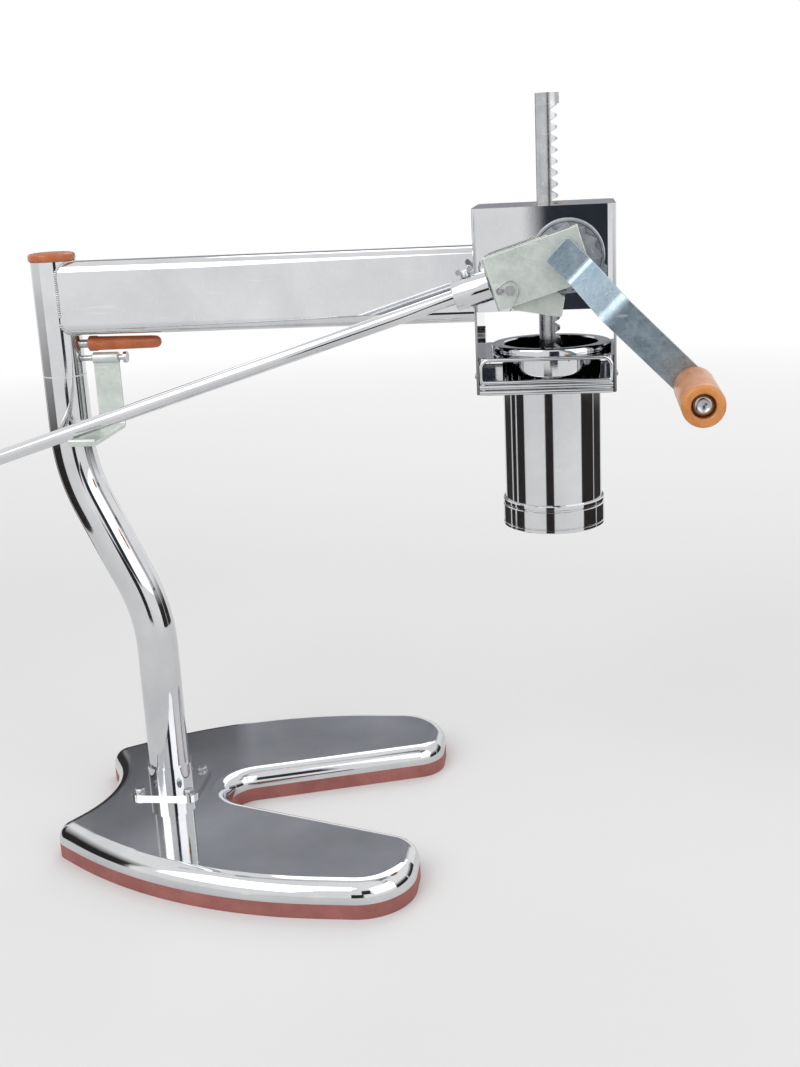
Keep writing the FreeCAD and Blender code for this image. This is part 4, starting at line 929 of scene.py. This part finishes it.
@dataclass
class Head:
    """The folded head with its bearings, the barrel's holder, the barrel and its die."""

    rivet_radius: float = 2.3
    lip_radius: float = 1.7
    frame_radius: float = 1.3
    frame_corner: float = 5.5
    window_corner: float = 1.5
    window_inset: float = 1.6
    window_foot: float = 8.6
    window_top: float = 1.2
    upper_lip: float = 5.4
    lip_overlap: float = 1.0
    rivet_depth: float = 0.8
    rivet_heights: Point = (12.0, 60.0)
    rivet_flatten: Colour = (0.45, 1.0, 1.0)
    barrel_radius: float = 34.0
    barrel_bore: float = 32.5
    barrel_steps: int = 128
    rim_height: float = 5.0
    die_lip: float = 32.3
    bearing_bore: float = 4.7
    bearing_hub: float = 9.5
    bearing_height: float = 5.0

    def build(self, shop: Workshop, trees: Trees) -> None:
        """Make and dress every piece of the head."""
        for node, finish in (("head_housing", "mirror_chrome"), ("wall_bolt", "bright_steel"),
                             ("rack_guide", "bronze"), ("barrel_holder", "mirror_chrome"),
                             ("die_plate", "bronze")):
            shop.dress(node, finish)
        self._barrel(shop)
        self._bearings(shop)
        self._lips(shop)
        self._rivets(shop, trees)

    def _barrel(self, shop: Workshop) -> None:
        """Turn the barrel with its rim, and the die's ring with its grip grooves."""
        low, high = (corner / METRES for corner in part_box("barrel"))
        foot, top = low.z, high.z
        outer, bore, rim = self.barrel_radius, self.barrel_bore, (high.x - low.x) / 2
        seat = top - self.rim_height
        place = axes(Vector(((low.x + high.x) / 2, 0, 0)), Vector((0, 0, 1)), Vector((1, 0, 0)))
        profile = [(bore, foot), (outer - 0.3, foot), (outer, foot + 0.3), (outer, seat), (rim - 0.6, seat),
                   (rim, seat + 0.6), (rim, top - 1.2), (rim - 0.4, top - 0.4), (rim - 1.2, top),
                   (bore + 0.8, top), (bore, top - 0.8)]
        Shape().lathe(profile, place, self.barrel_steps).settled(
            "barrel_turned", shop, "mirror_chrome", "arm", ["barrel"])
        low, high = (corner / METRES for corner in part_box("die_ring"))
        foot, top, ring = low.z, high.z, (high.x - low.x) / 2
        groove = [(ring - depth, top - drop) for drop, depth in
                  ((4.6, 0.0), (4.0, 0.7), (3.2, 0.7), (2.6, 0.0), (0.5, 0.0), (0.0, 0.5))]
        profile = [(self.die_lip, foot), (ring - 0.6, foot), (ring, foot + 0.6), (ring, foot + 2.2),
                   (ring - 0.5, foot + 2.6), (ring - 0.5, foot + 3.1), (ring, foot + 3.5), *groove,
                   (outer + 0.1, top), (outer + 0.1, foot + 2.0), (self.die_lip, foot + 2.0)]
        Shape().lathe(profile, place, self.barrel_steps).settled(
            "die_ring_turned", shop, "mirror_chrome", "die", ["die_ring"])

    def _bearings(self, shop: Workshop) -> None:
        """Turn both bearings with a raised rim and a raised eye round the shaft."""
        shaft = shop.joint_place("shaft_turn")
        for node, side in (("front_bearing", -1), ("rear_bearing", 1)):
            low, high = (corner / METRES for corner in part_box(node))
            ends = sorted(side * value for value in (low.y, high.y))
            face, radius, wall = ends[1], (high.x - low.x) / 2, ends[1] - self.bearing_height
            profile = [(self.bearing_bore, ends[0]), (self.bearing_hub, ends[0]), (self.bearing_hub, wall),
                       (radius, wall), (radius, face - 0.7), (radius - 0.6, face), (radius - 1.9, face),
                       (radius - 2.5, face - 0.8), (self.bearing_hub + 2.0, face - 0.8),
                       (self.bearing_hub + 1.0, face), (self.bearing_bore + 0.5, face),
                       (self.bearing_bore, face - 0.5)]
            place = axes(shaft, Vector((0, side, 0)), Vector((1, 0, 0)))
            Shape().lathe(profile, place, 96).settled(node + "_turned", shop, "satin_steel", "arm", [node])

    def _lips(self, shop: Workshop) -> None:
        """Run a rolled rim round the holder's window, on both open sides."""
        low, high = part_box("barrel_holder")
        left, right = low.x / METRES + self.window_inset, high.x / METRES - self.window_inset
        foot, top = low.z / METRES, high.z / METRES
        shape = Shape()
        for side in (low.y / METRES + self.frame_radius * 0.4, high.y / METRES - self.frame_radius * 0.4):
            ring = rounded([
                (left, foot + self.window_foot, self.window_corner),
                (right, foot + self.window_foot, self.window_corner),
                (right, top - self.window_top, self.frame_corner),
                (left, top - self.window_top, self.frame_corner)], steps=8)
            shape.tube([Vector((x, side, z)) for x, z in ring], self.frame_radius, 12, closed=True)
            for height in (foot + self.lip_radius, foot + self.upper_lip):
                start, length = left - self.lip_overlap, right - left + 2 * self.lip_overlap
                shape.tube([Vector((start + length * k / 4, side, height)) for k in range(5)],
                           self.lip_radius, 14)
        shape.settled("holder_rolled_rims", shop, "mirror_chrome", "arm", sharp=60.0)

    def _rivets(self, shop: Workshop, trees: Trees) -> None:
        """Set the rivets that hold the holder in the head's two side walls."""
        low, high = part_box("head_housing")
        foot, depth = low.z / METRES, high.y / METRES
        spots = [Vector((x, y, z)) for x in (low.x / METRES, high.x / METRES)
                 for y in (-depth * self.rivet_depth, depth * self.rivet_depth)
                 for z in (foot + height for height in self.rivet_heights)]
        rivets = shop.from_tree("wall_rivets", trees.rivets, {
            "Radius": self.rivet_radius * METRES, "Flatten": self.rivet_flatten}, "bright_steel", spots)
        shop.settle(rivets, "arm")


@dataclass
class Drive:
    """The shaft with its pinion, ratchet wheel and crank, and the rack with its piston."""

    crank_angle: float = 45.0
    crank_length: float = 106.8
    crank_half_width: float = 10.0
    crank_stub: float = 9.5
    crank_back: float = 67.0
    crank_thickness: float = 5.05
    crank_offset: float = 38.0
    crank_bend: float = 6.0
    joggle_start: float = 14.0
    joggle_end: float = 40.0
    grip_radius: float = 12.5
    grip_length: float = 68.0
    recess_radius: float = 7.2
    recess_depth: float = 9.0
    recess_edge: float = 0.8
    grip_rim: float = 2.6
    bore_radius: float = 4.15
    rivet_play: float = 0.3
    rivet_stem: float = 4.0
    rivet_head: float = 6.2
    rivet_height: float = 5.0
    wheel_tip: float = 21.75
    wheel_root: float = 18.2
    wheel_teeth: int = 12
    wheel_lean: float = 0.12
    wheel_front: float = 59.0
    wheel_width: float = 8.0
    hub_radius: float = 9.0
    hub_front: float = 61.1
    hub_back: float = 48.9
    hub_rim: float = 0.4
    hub_bore: float = 4.55

    def build(self, shop: Workshop, trees: Trees) -> None:
        """Make and dress every piece of the drive."""
        for node, finish in (("pinion_shaft", "bright_steel"), ("drive_pinion", "bright_steel"),
                             ("shaft_ring", "bright_steel"), ("crank_spacer", "bright_steel"),
                             ("rack_bar", "bright_steel"),
                             ("piston", "bright_steel"), ("piston_seal", "seal_rubber"),
                             ("piston_nut", "bright_steel")):
            shop.dress(node, finish)
        shaft = shop.joint_place("shaft_turn")
        self._crank(shop, shaft)
        self._grip(shop, shaft)
        self._wheel(shop, trees, shaft)

    def _axes(self, shaft: Vector) -> Matrix:
        """Give the crank's own axes: x along it, y across it and z away from the head."""
        turn = math.radians(self.crank_angle)
        return axes(shaft, Vector((0, -1, 0)), Vector((math.cos(turn), 0, -math.sin(turn))))

    def _crank(self, shop: Workshop, shaft: Vector) -> None:
        """Bend the flat crank twice and round its outer end."""
        place = self._axes(shaft)
        t, back, outer = self.crank_thickness, self.crank_back, self.crank_back + self.crank_offset
        shift = t * 0.53
        end = self.crank_length
        tight, wide = self.crank_bend, self.crank_bend + t
        inner = rounded([(-self.crank_stub, back, 0.0), (self.joggle_start, back, wide),
                         (self.joggle_end, outer, tight), (end + 10.0, outer, 0.0)])
        face = rounded([(-self.crank_stub, back + t, 0.0), (self.joggle_start - shift, back + t, tight),
                        (self.joggle_end - shift, outer + t, wide), (end + 10.0, outer + t, 0.0)])
        shape = Shape()
        lines = []
        for side in (inner, face):
            rings = self._stations(side, end)
            lines.append([[shape.mesh.verts.new(place @ Vector((x, y * w, z))) for y in (-1, 1)]
                          for x, z, w in rings])
        low, high = lines
        for a, b, c, d in zip(low, low[1:], high, high[1:]):
            shape.mesh.faces.new((a[0], b[0], b[1], a[1]))
            shape.mesh.faces.new((c[0], c[1], d[1], d[0]))
            shape.mesh.faces.new((a[0], c[0], d[0], b[0]))
            shape.mesh.faces.new((a[1], b[1], d[1], c[1]))
        for first in (0, -1):
            shape.mesh.faces.new((low[first][0], low[first][1], high[first][1], high[first][0]))
        shape.settled("crank_bent_bar", shop, "blue_zinc", "shaft", ["crank_arm"], bevel=0.45)

    def _stations(self, line: list[Point], end: float) -> list[tuple[float, float, float]]:
        """Give places along one face of the crank with the half width there.

        Args:
            line: the face's line, as distance and height pairs.
            end: the distance of the grip's axis.

        Returns:
            Distance, height and half width of each station.
        """
        half = self.crank_half_width
        rows = [(line[0][0], line[0][1], half - 1.2), (line[0][0] + 1.2, line[0][1], half)]
        rows += [(x, z, half) for x, z in line[1:-1]]
        outer = line[-1][1]
        rows.append((end, outer, half))
        rows += [(end + half * math.sin(k * math.pi / 20), outer, max(half * math.cos(k * math.pi / 20), 0.6))
                 for k in range(1, 11)]
        return rows

    def _grip(self, shop: Workshop, shaft: Vector) -> None:
        """Turn the grip with its rounded rims and the recess round the spindle's head."""
        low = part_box("crank_grip")[0].y / METRES
        start, end = -low - self.grip_length, -low
        r, bend, edge = self.grip_radius, self.grip_rim, self.recess_edge
        profile = [(self.bore_radius, start), *turned(r, start, end, bend)[1:-1],
                   (self.recess_radius + edge, end), (self.recess_radius, end - edge),
                   (self.recess_radius, end - self.recess_depth), (self.bore_radius, end - self.recess_depth)]
        centre = self._axes(shaft)
        centre.translation = centre @ Vector((self.crank_length, 0, 0))
        Shape().lathe(profile, centre, 80).settled(
            "crank_turned_grip", shop, "amber_plastic", "crank_handle", ["crank_grip"])
        foot = self.crank_back + self.crank_offset
        seat = end - self.recess_depth + self.rivet_play
        top = seat + self.rivet_height
        r, head = self.rivet_stem, self.rivet_head
        profile = [(0.0, foot), (r, foot), (r, seat), (head, seat), (head, top - 1.5),
                   (head - 0.5, top - 0.7), (head - 1.5, top - 0.1), (head - 2.4, top),
                   (head - 3.4, top - 0.8), (0.0, top - 1.0)]
        Shape().lathe(profile, centre, 48).settled(
            "grip_riveted_spindle", shop, "bright_steel", "shaft", ["grip_spindle"])

    def _wheel(self, shop: Workshop, trees: Trees, shaft: Vector) -> None:
        """Cut the ratchet wheel and turn its hub."""
        wheel = shop.from_tree("ratchet_toothed_wheel", trees.ratchet, {
            "Teeth": self.wheel_teeth, "Tip Radius": self.wheel_tip * METRES,
            "Root Radius": self.wheel_root * METRES, "Lean": self.wheel_lean,
            "Width": self.wheel_width * METRES,
            "Place": (shaft.x * METRES, (self.wheel_width - self.wheel_front) * METRES, shaft.z * METRES),
            "Turn": (math.pi / 2, 0.0, 0.0)}, "satin_steel", [Vector()])
        shop.settle(wheel, "shaft", ["ratchet_wheel"])
        place = axes(shaft, Vector((0, -1, 0)), Vector((1, 0, 0)))
        profile = turned(self.hub_radius, self.hub_back, self.hub_front, self.hub_rim, 2, self.hub_bore)
        Shape().lathe(profile, place, 48).settled("ratchet_hub", shop, "bright_steel", "shaft")


@dataclass
class Lever:
    """The ratchet lever: fork, rod, end cap, pawl and wing screw."""

    tilt: float = 17.2
    fork_back: float = 46.0
    fork_front: float = 64.0
    fork_wall: float = 2.6
    fork_half_height: float = 17.5
    fork_end: float = 12.0
    fork_length: float = 52.5
    fork_bend: float = 2.9
    socket_radius: float = 10.0
    socket_end: float = 77.0
    rod_end: float = 446.0
    cap_length: float = 18.0
    cap_radius: float = 6.6
    rod_radius: float = 5.0
    wing_place: float = 65.7
    wing_half_span: float = 5.75
    wing_seat: float = 10.3
    wing_top: float = 17.0
    pawl_back: float = 50.4
    pawl_width: float = 6.0
    pawl_outline: list[tuple[float, float, float]] = field(default_factory=lambda: [
        (18.0, -13.1, 0.5), (13.5, -17.8, 0.5), (9.5, -23.5, 1.2), (15.3, -35.0, 1.5), (43.3, -20.5, 1.5),
        (47.3, -8.5, 1.0), (43.0, -1.2, 2.0), (39.5, -1.2, 1.0)])

    def build(self, shop: Workshop) -> None:
        """Make and dress every piece of the lever."""
        for node in ("pawl_pin", "pawl_spring", "spring_peg"):
            shop.dress(node, "bright_steel")
        shaft = shop.joint_place("lever_swing")
        turn = math.radians(self.tilt)
        along = Vector((-math.cos(turn), 0, -math.sin(turn)))
        front = Vector((0, -1, 0))
        up = along.cross(front)
        self._fork(shop, Matrix((*[(along[i], front[i], up[i], shaft[i]) for i in range(3)], (0, 0, 0, 1))))
        flat = Matrix((*[(along[i], up[i], front[i], shaft[i]) for i in range(3)], (0, 0, 0, 1)))
        self._pawl(shop, flat)
        middle = shaft + front * (self.fork_back + self.fork_front) / 2
        self._rod(shop, axes(middle, along, up))
        self._cap(shop, axes(middle, along, up))
        self._wing(shop, axes(middle + along * self.wing_place, up, along))

    def _fork(self, shop: Workshop, place: Matrix) -> None:
        """Fold the fork: two cheeks joined by a web, cut in one outline along the lever."""
        back, front, wall, bend = self.fork_back, self.fork_front, self.fork_wall, self.fork_bend
        outline = rounded([
            (-self.fork_end, back, 0.0), (self.fork_length, back, bend), (self.fork_length, front, bend),
            (-self.fork_end, front, 0.0), (-self.fork_end, front - wall, 0.0),
            (self.fork_length - wall, front - wall, 0.3), (self.fork_length - wall, back + wall, 0.3),
            (-self.fork_end, back + wall, 0.0)])
        half = self.fork_half_height
        Shape().prism(outline, -half, half, place).settled(
            "lever_folded_fork", shop, "pale_zinc", "lever", ["lever_fork"], bevel=0.4)

    def _pawl(self, shop: Workshop, flat: Matrix) -> None:
        """Cut the pawl's plate."""
        start, end = self.pawl_back, self.pawl_back + self.pawl_width
        Shape().prism(rounded(self.pawl_outline), start, end, flat).settled(
            "pawl_plate", shop, "pale_zinc", "pawl_body", ["pawl"], bevel=0.35)

    def _rod(self, shop: Workshop, place: Matrix) -> None:
        """Turn the rod and the socket that holds it."""
        start, end, radius, bore = self.fork_length, self.socket_end, self.socket_radius, self.rod_radius
        profile = [(bore, start), (radius - 0.6, start), (radius, start + 0.6), (radius, end - 1.2),
                   (radius - 0.4, end - 0.4), (radius - 1.2, end), (bore + 0.6, end), (bore, end - 0.6)]
        Shape().lathe(profile, place, 64).settled(
            "lever_turned_socket", shop, "mirror_chrome", "lever", ["lever_socket"])
        Shape().lathe(turned(bore, start, self.rod_end, 0.6, 3), place, 48).settled(
            "lever_round_rod", shop, "mirror_chrome", "lever", ["lever_rod"])

    def _cap(self, shop: Workshop, place: Matrix) -> None:
        """Turn the soft cap on the rod's end, with a rolled collar."""
        start = self.rod_end - self.cap_length * 0.75
        end = self.rod_end + self.cap_length / 4
        profile = turned(self.cap_radius, start, end, 2.6)
        profile[0] = (self.rod_radius, start)
        profile[1:7] = [(self.cap_radius - 0.4, start), (self.cap_radius, start + 0.5),
                        (self.cap_radius, start + 2.2), (self.cap_radius - 0.5, start + 2.8)]
        Shape().lathe(profile, place, 56).settled(
            "lever_end_boot", shop, "orange_plastic", "lever", ["lever_end_cap"])

    def _wing(self, shop: Workshop, place: Matrix) -> None:
        """Make the wing screw: a plain stem, a boss and two rounded ears."""
        seat, top, span = self.wing_seat, self.wing_top, self.wing_half_span
        shape = Shape().lathe([(0.0, self.rod_radius + 0.3), (1.9, self.rod_radius + 0.3), (1.9, seat),
                               (3.2, seat), (3.2, seat + 0.8), (2.4, seat + 3.0),
                               (0.0, seat + 3.2)], place, 32)
        for side in (-1, 1):
            ear = rounded([(side * 1.2, seat + 0.9, 0.3), (side * span, seat + 2.4, 0.9),
                           (side * span, top - 1.6, 1.2), (side * (span - 2.6), top, 1.2),
                           (side * 1.4, seat + 3.0, 0.4)])
            turned_up = place @ Matrix(((1, 0, 0, 0), (0, 0, -1, 0), (0, 1, 0, 0), (0, 0, 0, 1)))
            shape.prism(ear, -1.0, 1.0, turned_up)
        shape.settled("wing_eared_screw", shop, "bright_steel", "wing", ["wing_screw"], bevel=0.25)


@dataclass(frozen=True)
class Card:
    """One upright card of the studio: its bearing from the part, its reach and its tone."""

    name: str
    angle: float
    half_angle: float
    low: float
    high: float
    tone: Colour = (0.022, 0.018, 0.017)
    fade: float = 0.06
    thin_top: float = 0.05
    distance: float = 0.75
    centre: Colour = (0.28, 0.0, 0.0)


CARDS = (
    Card("card_front", -5.0, 10.5, 0.0, 0.24, fade=0.12),
    Card("card_head", 8.5, 10.0, 0.24, 0.62, tone=(0.025, 0.032, 0.045), fade=0.10),
    Card("card_right", 90.0, 20.0, 0.0, 0.44, thin_top=0.55),
    Card("card_right_rear", 130.0, 20.0, 0.0, 0.40, tone=(0.035, 0.03, 0.03), thin_top=0.55),
    Card("card_left", -88.0, 22.0, 0.0, 0.44, thin_top=0.55),
    Card("card_left_rear", -131.0, 19.0, 0.0, 0.40, tone=(0.035, 0.03, 0.03), thin_top=0.55),
    Card("card_back", 192.0, 33.0, 0.36, 1.0, tone=(0.34, 0.35, 0.38), fade=0.15, distance=1.2),
)


@dataclass
class Studio:
    """The pale floor, the soft light and the camera at the photograph's angle."""

    azimuth: float = 7.9
    elevation: float = 15.74
    roll: float = -2.84
    lens: float = 45.55
    film: float = 36.0
    eye: Colour = (0.32246, -0.94141, 0.49662)
    floor_radius: float = 4.0
    floor_tone: Colour = (0.80, 0.80, 0.80)
    floor_fade: Point = (0.7, 2.6)
    sky_level: float = 0.62

    def build(self) -> None:
        """Make the camera, the lamps, the floor and the world."""
        self._camera()
        self._world()
        self._floor()
        self._lamps()
        self._cards()
        bpy.context.scene.view_settings.view_transform = "Standard"

    def _camera(self) -> None:
        """Place the camera where the photograph was taken from."""
        az, el, roll = (math.radians(value) for value in (self.azimuth, self.elevation, self.roll))
        back = Vector((math.sin(az) * math.cos(el), -math.cos(az) * math.cos(el), math.sin(el)))
        right = Vector((math.cos(az), math.sin(az), 0.0))
        up = back.cross(right)
        side = right * math.cos(roll) + up * math.sin(roll)
        top = up * math.cos(roll) - right * math.sin(roll)
        data = bpy.data.cameras.new("camera")
        data.sensor_fit = "VERTICAL"
        data.sensor_height = self.film
        data.lens = self.lens
        camera = bpy.data.objects.new("camera", data)
        camera.matrix_world = Matrix((*[(side[i], top[i], back[i], self.eye[i]) for i in range(3)],
                                      (0.0, 0.0, 0.0, 1.0)))
        bpy.context.scene.collection.objects.link(camera)
        bpy.context.scene.camera = camera

    @staticmethod
    def _seen(graph: Graph) -> bpy.types.NodeSocket:
        """Tell whether a ray comes from the camera, a mirror or glass."""
        path = graph.add("ShaderNodeLightPath").outputs
        seen = graph.maths("MAXIMUM", path["Is Camera Ray"], path["Is Glossy Ray"])
        return graph.maths("MAXIMUM", seen, path["Is Transmission Ray"])

    def _world(self) -> None:
        """Make the world white to the eye and softer as a light."""
        world = bpy.data.worlds.new("studio")
        world.use_nodes = True
        bpy.context.scene.world = world
        graph = Graph(world.node_tree)
        level = graph.spread(self._seen(graph), 0.0, 1.0, self.sky_level, 1.0)
        sky = world.node_tree.nodes["Background"]
        sky.inputs["Color"].default_value = (1.0, 1.0, 1.0, 1.0)
        graph.tree.links.new(level, sky.inputs["Strength"])

    def _floor(self) -> None:
        """Lay the floor, which fades to the white of the world far from the part."""
        shape = bmesh.new()
        bmesh.ops.create_circle(shape, cap_ends=True, radius=self.floor_radius, segments=96)
        data = bpy.data.meshes.new("floor")
        shape.to_mesh(data)
        shape.free()
        floor = bpy.data.objects.new("floor", data)
        bpy.context.scene.collection.objects.link(floor)
        made = bpy.data.materials.new("floor_paper")
        made.use_nodes = True
        graph = Graph(made.node_tree)
        shader = made.node_tree.nodes["Principled BSDF"]
        shader.inputs["Base Color"].default_value = (*self.floor_tone, 1.0)
        shader.inputs["Roughness"].default_value = 0.9
        place = graph.add("ShaderNodeTexCoord").outputs["Object"]
        far = graph.add("ShaderNodeVectorMath", {0: place}, operation="LENGTH").outputs["Value"]
        share = graph.maths("MULTIPLY", graph.spread(far, *self.floor_fade), self._seen(graph))
        white = graph.add("ShaderNodeEmission", {"Color": (1.0, 1.0, 1.0, 1.0), "Strength": 1.0})
        mixed = graph.add("ShaderNodeMixShader", {0: share, 1: shader.outputs[0], 2: white.outputs[0]})
        graph.tree.links.new(mixed.outputs[0], made.node_tree.nodes["Material Output"].inputs["Surface"])
        data.materials.append(made)

    @staticmethod
    def _lamps() -> None:
        """Hang the soft lamps."""
        for name, place, aim, size, power in (
                ("key", (-0.9, -1.3, 1.7), (0.15, 0.0, 0.3), 1.7, 17.0),
                ("fill", (1.5, -0.9, 1.1), (0.2, 0.0, 0.3), 1.5, 7.0),
                ("rim", (0.3, 1.5, 1.6), (0.15, 0.0, 0.3), 1.5, 9.0)):
            data = bpy.data.lights.new(name, "AREA")
            data.shape = "SQUARE"
            data.size = size
            data.energy = power
            lamp = bpy.data.objects.new(name, data)
            lamp.location = place
            lamp.rotation_euler = (Vector(aim) - Vector(place)).to_track_quat("-Z", "Y").to_euler()
            bpy.context.scene.collection.objects.link(lamp)

    def _cards(self) -> None:
        """Stand dark cards round the part, seen only as reflections in its polish."""
        for card in CARDS:
            self._card(card, self._cloth(card))

    @staticmethod
    def _cloth(card: "Card") -> bpy.types.Material:
        """Weave a card's cloth, which thins out towards its upright sides and its top."""
        made = bpy.data.materials.new(card.name + "_cloth")
        made.use_nodes = True
        graph = Graph(made.node_tree)
        place = graph.add("ShaderNodeTexCoord").outputs["Object"]
        weave = graph.add("ShaderNodeTexNoise", {"Vector": place, "Scale": 6.0, "Detail": 4.0})
        tone = graph.blend(weave.outputs["Fac"], tuple(0.5 * value for value in card.tone) + (1.0,),
                           tuple(1.5 * value for value in card.tone) + (1.0,))
        spot = graph.add("ShaderNodeSeparateXYZ", {0: place}).outputs
        cover = graph.maths("MULTIPLY",
                            graph.spread(graph.maths("ABSOLUTE", spot[0]), 0.5 - card.fade, 0.5, 1.0, 0.0),
                            graph.spread(spot[1], 0.5 - card.thin_top, 0.5, 1.0, 0.0))
        shader = made.node_tree.nodes["Principled BSDF"]
        graph.tree.links.new(tone, shader.inputs["Base Color"])
        graph.tree.links.new(cover, shader.inputs["Alpha"])
        shader.inputs["Roughness"].default_value = 0.95
        return made

    @staticmethod
    def _card(card: "Card", cloth: bpy.types.Material) -> None:
        """Stand one card on the ring, facing the part."""
        angle = math.radians(card.angle)
        out = Vector((math.sin(angle), -math.cos(angle), 0.0))
        side = Vector((math.cos(angle), math.sin(angle), 0.0))
        centre = Vector(card.centre) + out * card.distance
        centre.z = (card.low + card.high) / 2
        width = 2 * card.distance * math.tan(math.radians(card.half_angle))
        shape = bmesh.new()
        bmesh.ops.create_grid(shape, x_segments=1, y_segments=1, size=0.5)
        data = bpy.data.meshes.new(card.name)
        shape.to_mesh(data)
        shape.free()
        data.materials.append(cloth)
        stand = bpy.data.objects.new(card.name, data)
        place = Matrix((*[(side[i], (0.0, 0.0, 1.0)[i], out[i], centre[i]) for i in range(3)],
                        (0.0, 0.0, 0.0, 1.0)))
        stand.matrix_world = place @ Matrix.Diagonal((width, card.high - card.low, 1.0, 1.0))
        stand.visible_camera = False
        stand.visible_diffuse = False
        stand.visible_shadow = False
        bpy.context.scene.collection.objects.link(stand)


def main() -> None:
    """Load the frame, build every sub-assembly in order and set the studio."""
    logging.basicConfig(level=logging.INFO, format="%(message)s")
    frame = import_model()
    shop = Workshop(frame)
    trees = Trees()
    Stand().build(shop, trees)
    Arm().build(shop, trees)
    LeverHook().build(shop)
    Head().build(shop, trees)
    Drive().build(shop, trees)
    Lever().build(shop)
    Studio().build()


if __name__ == "__main__":
    main()
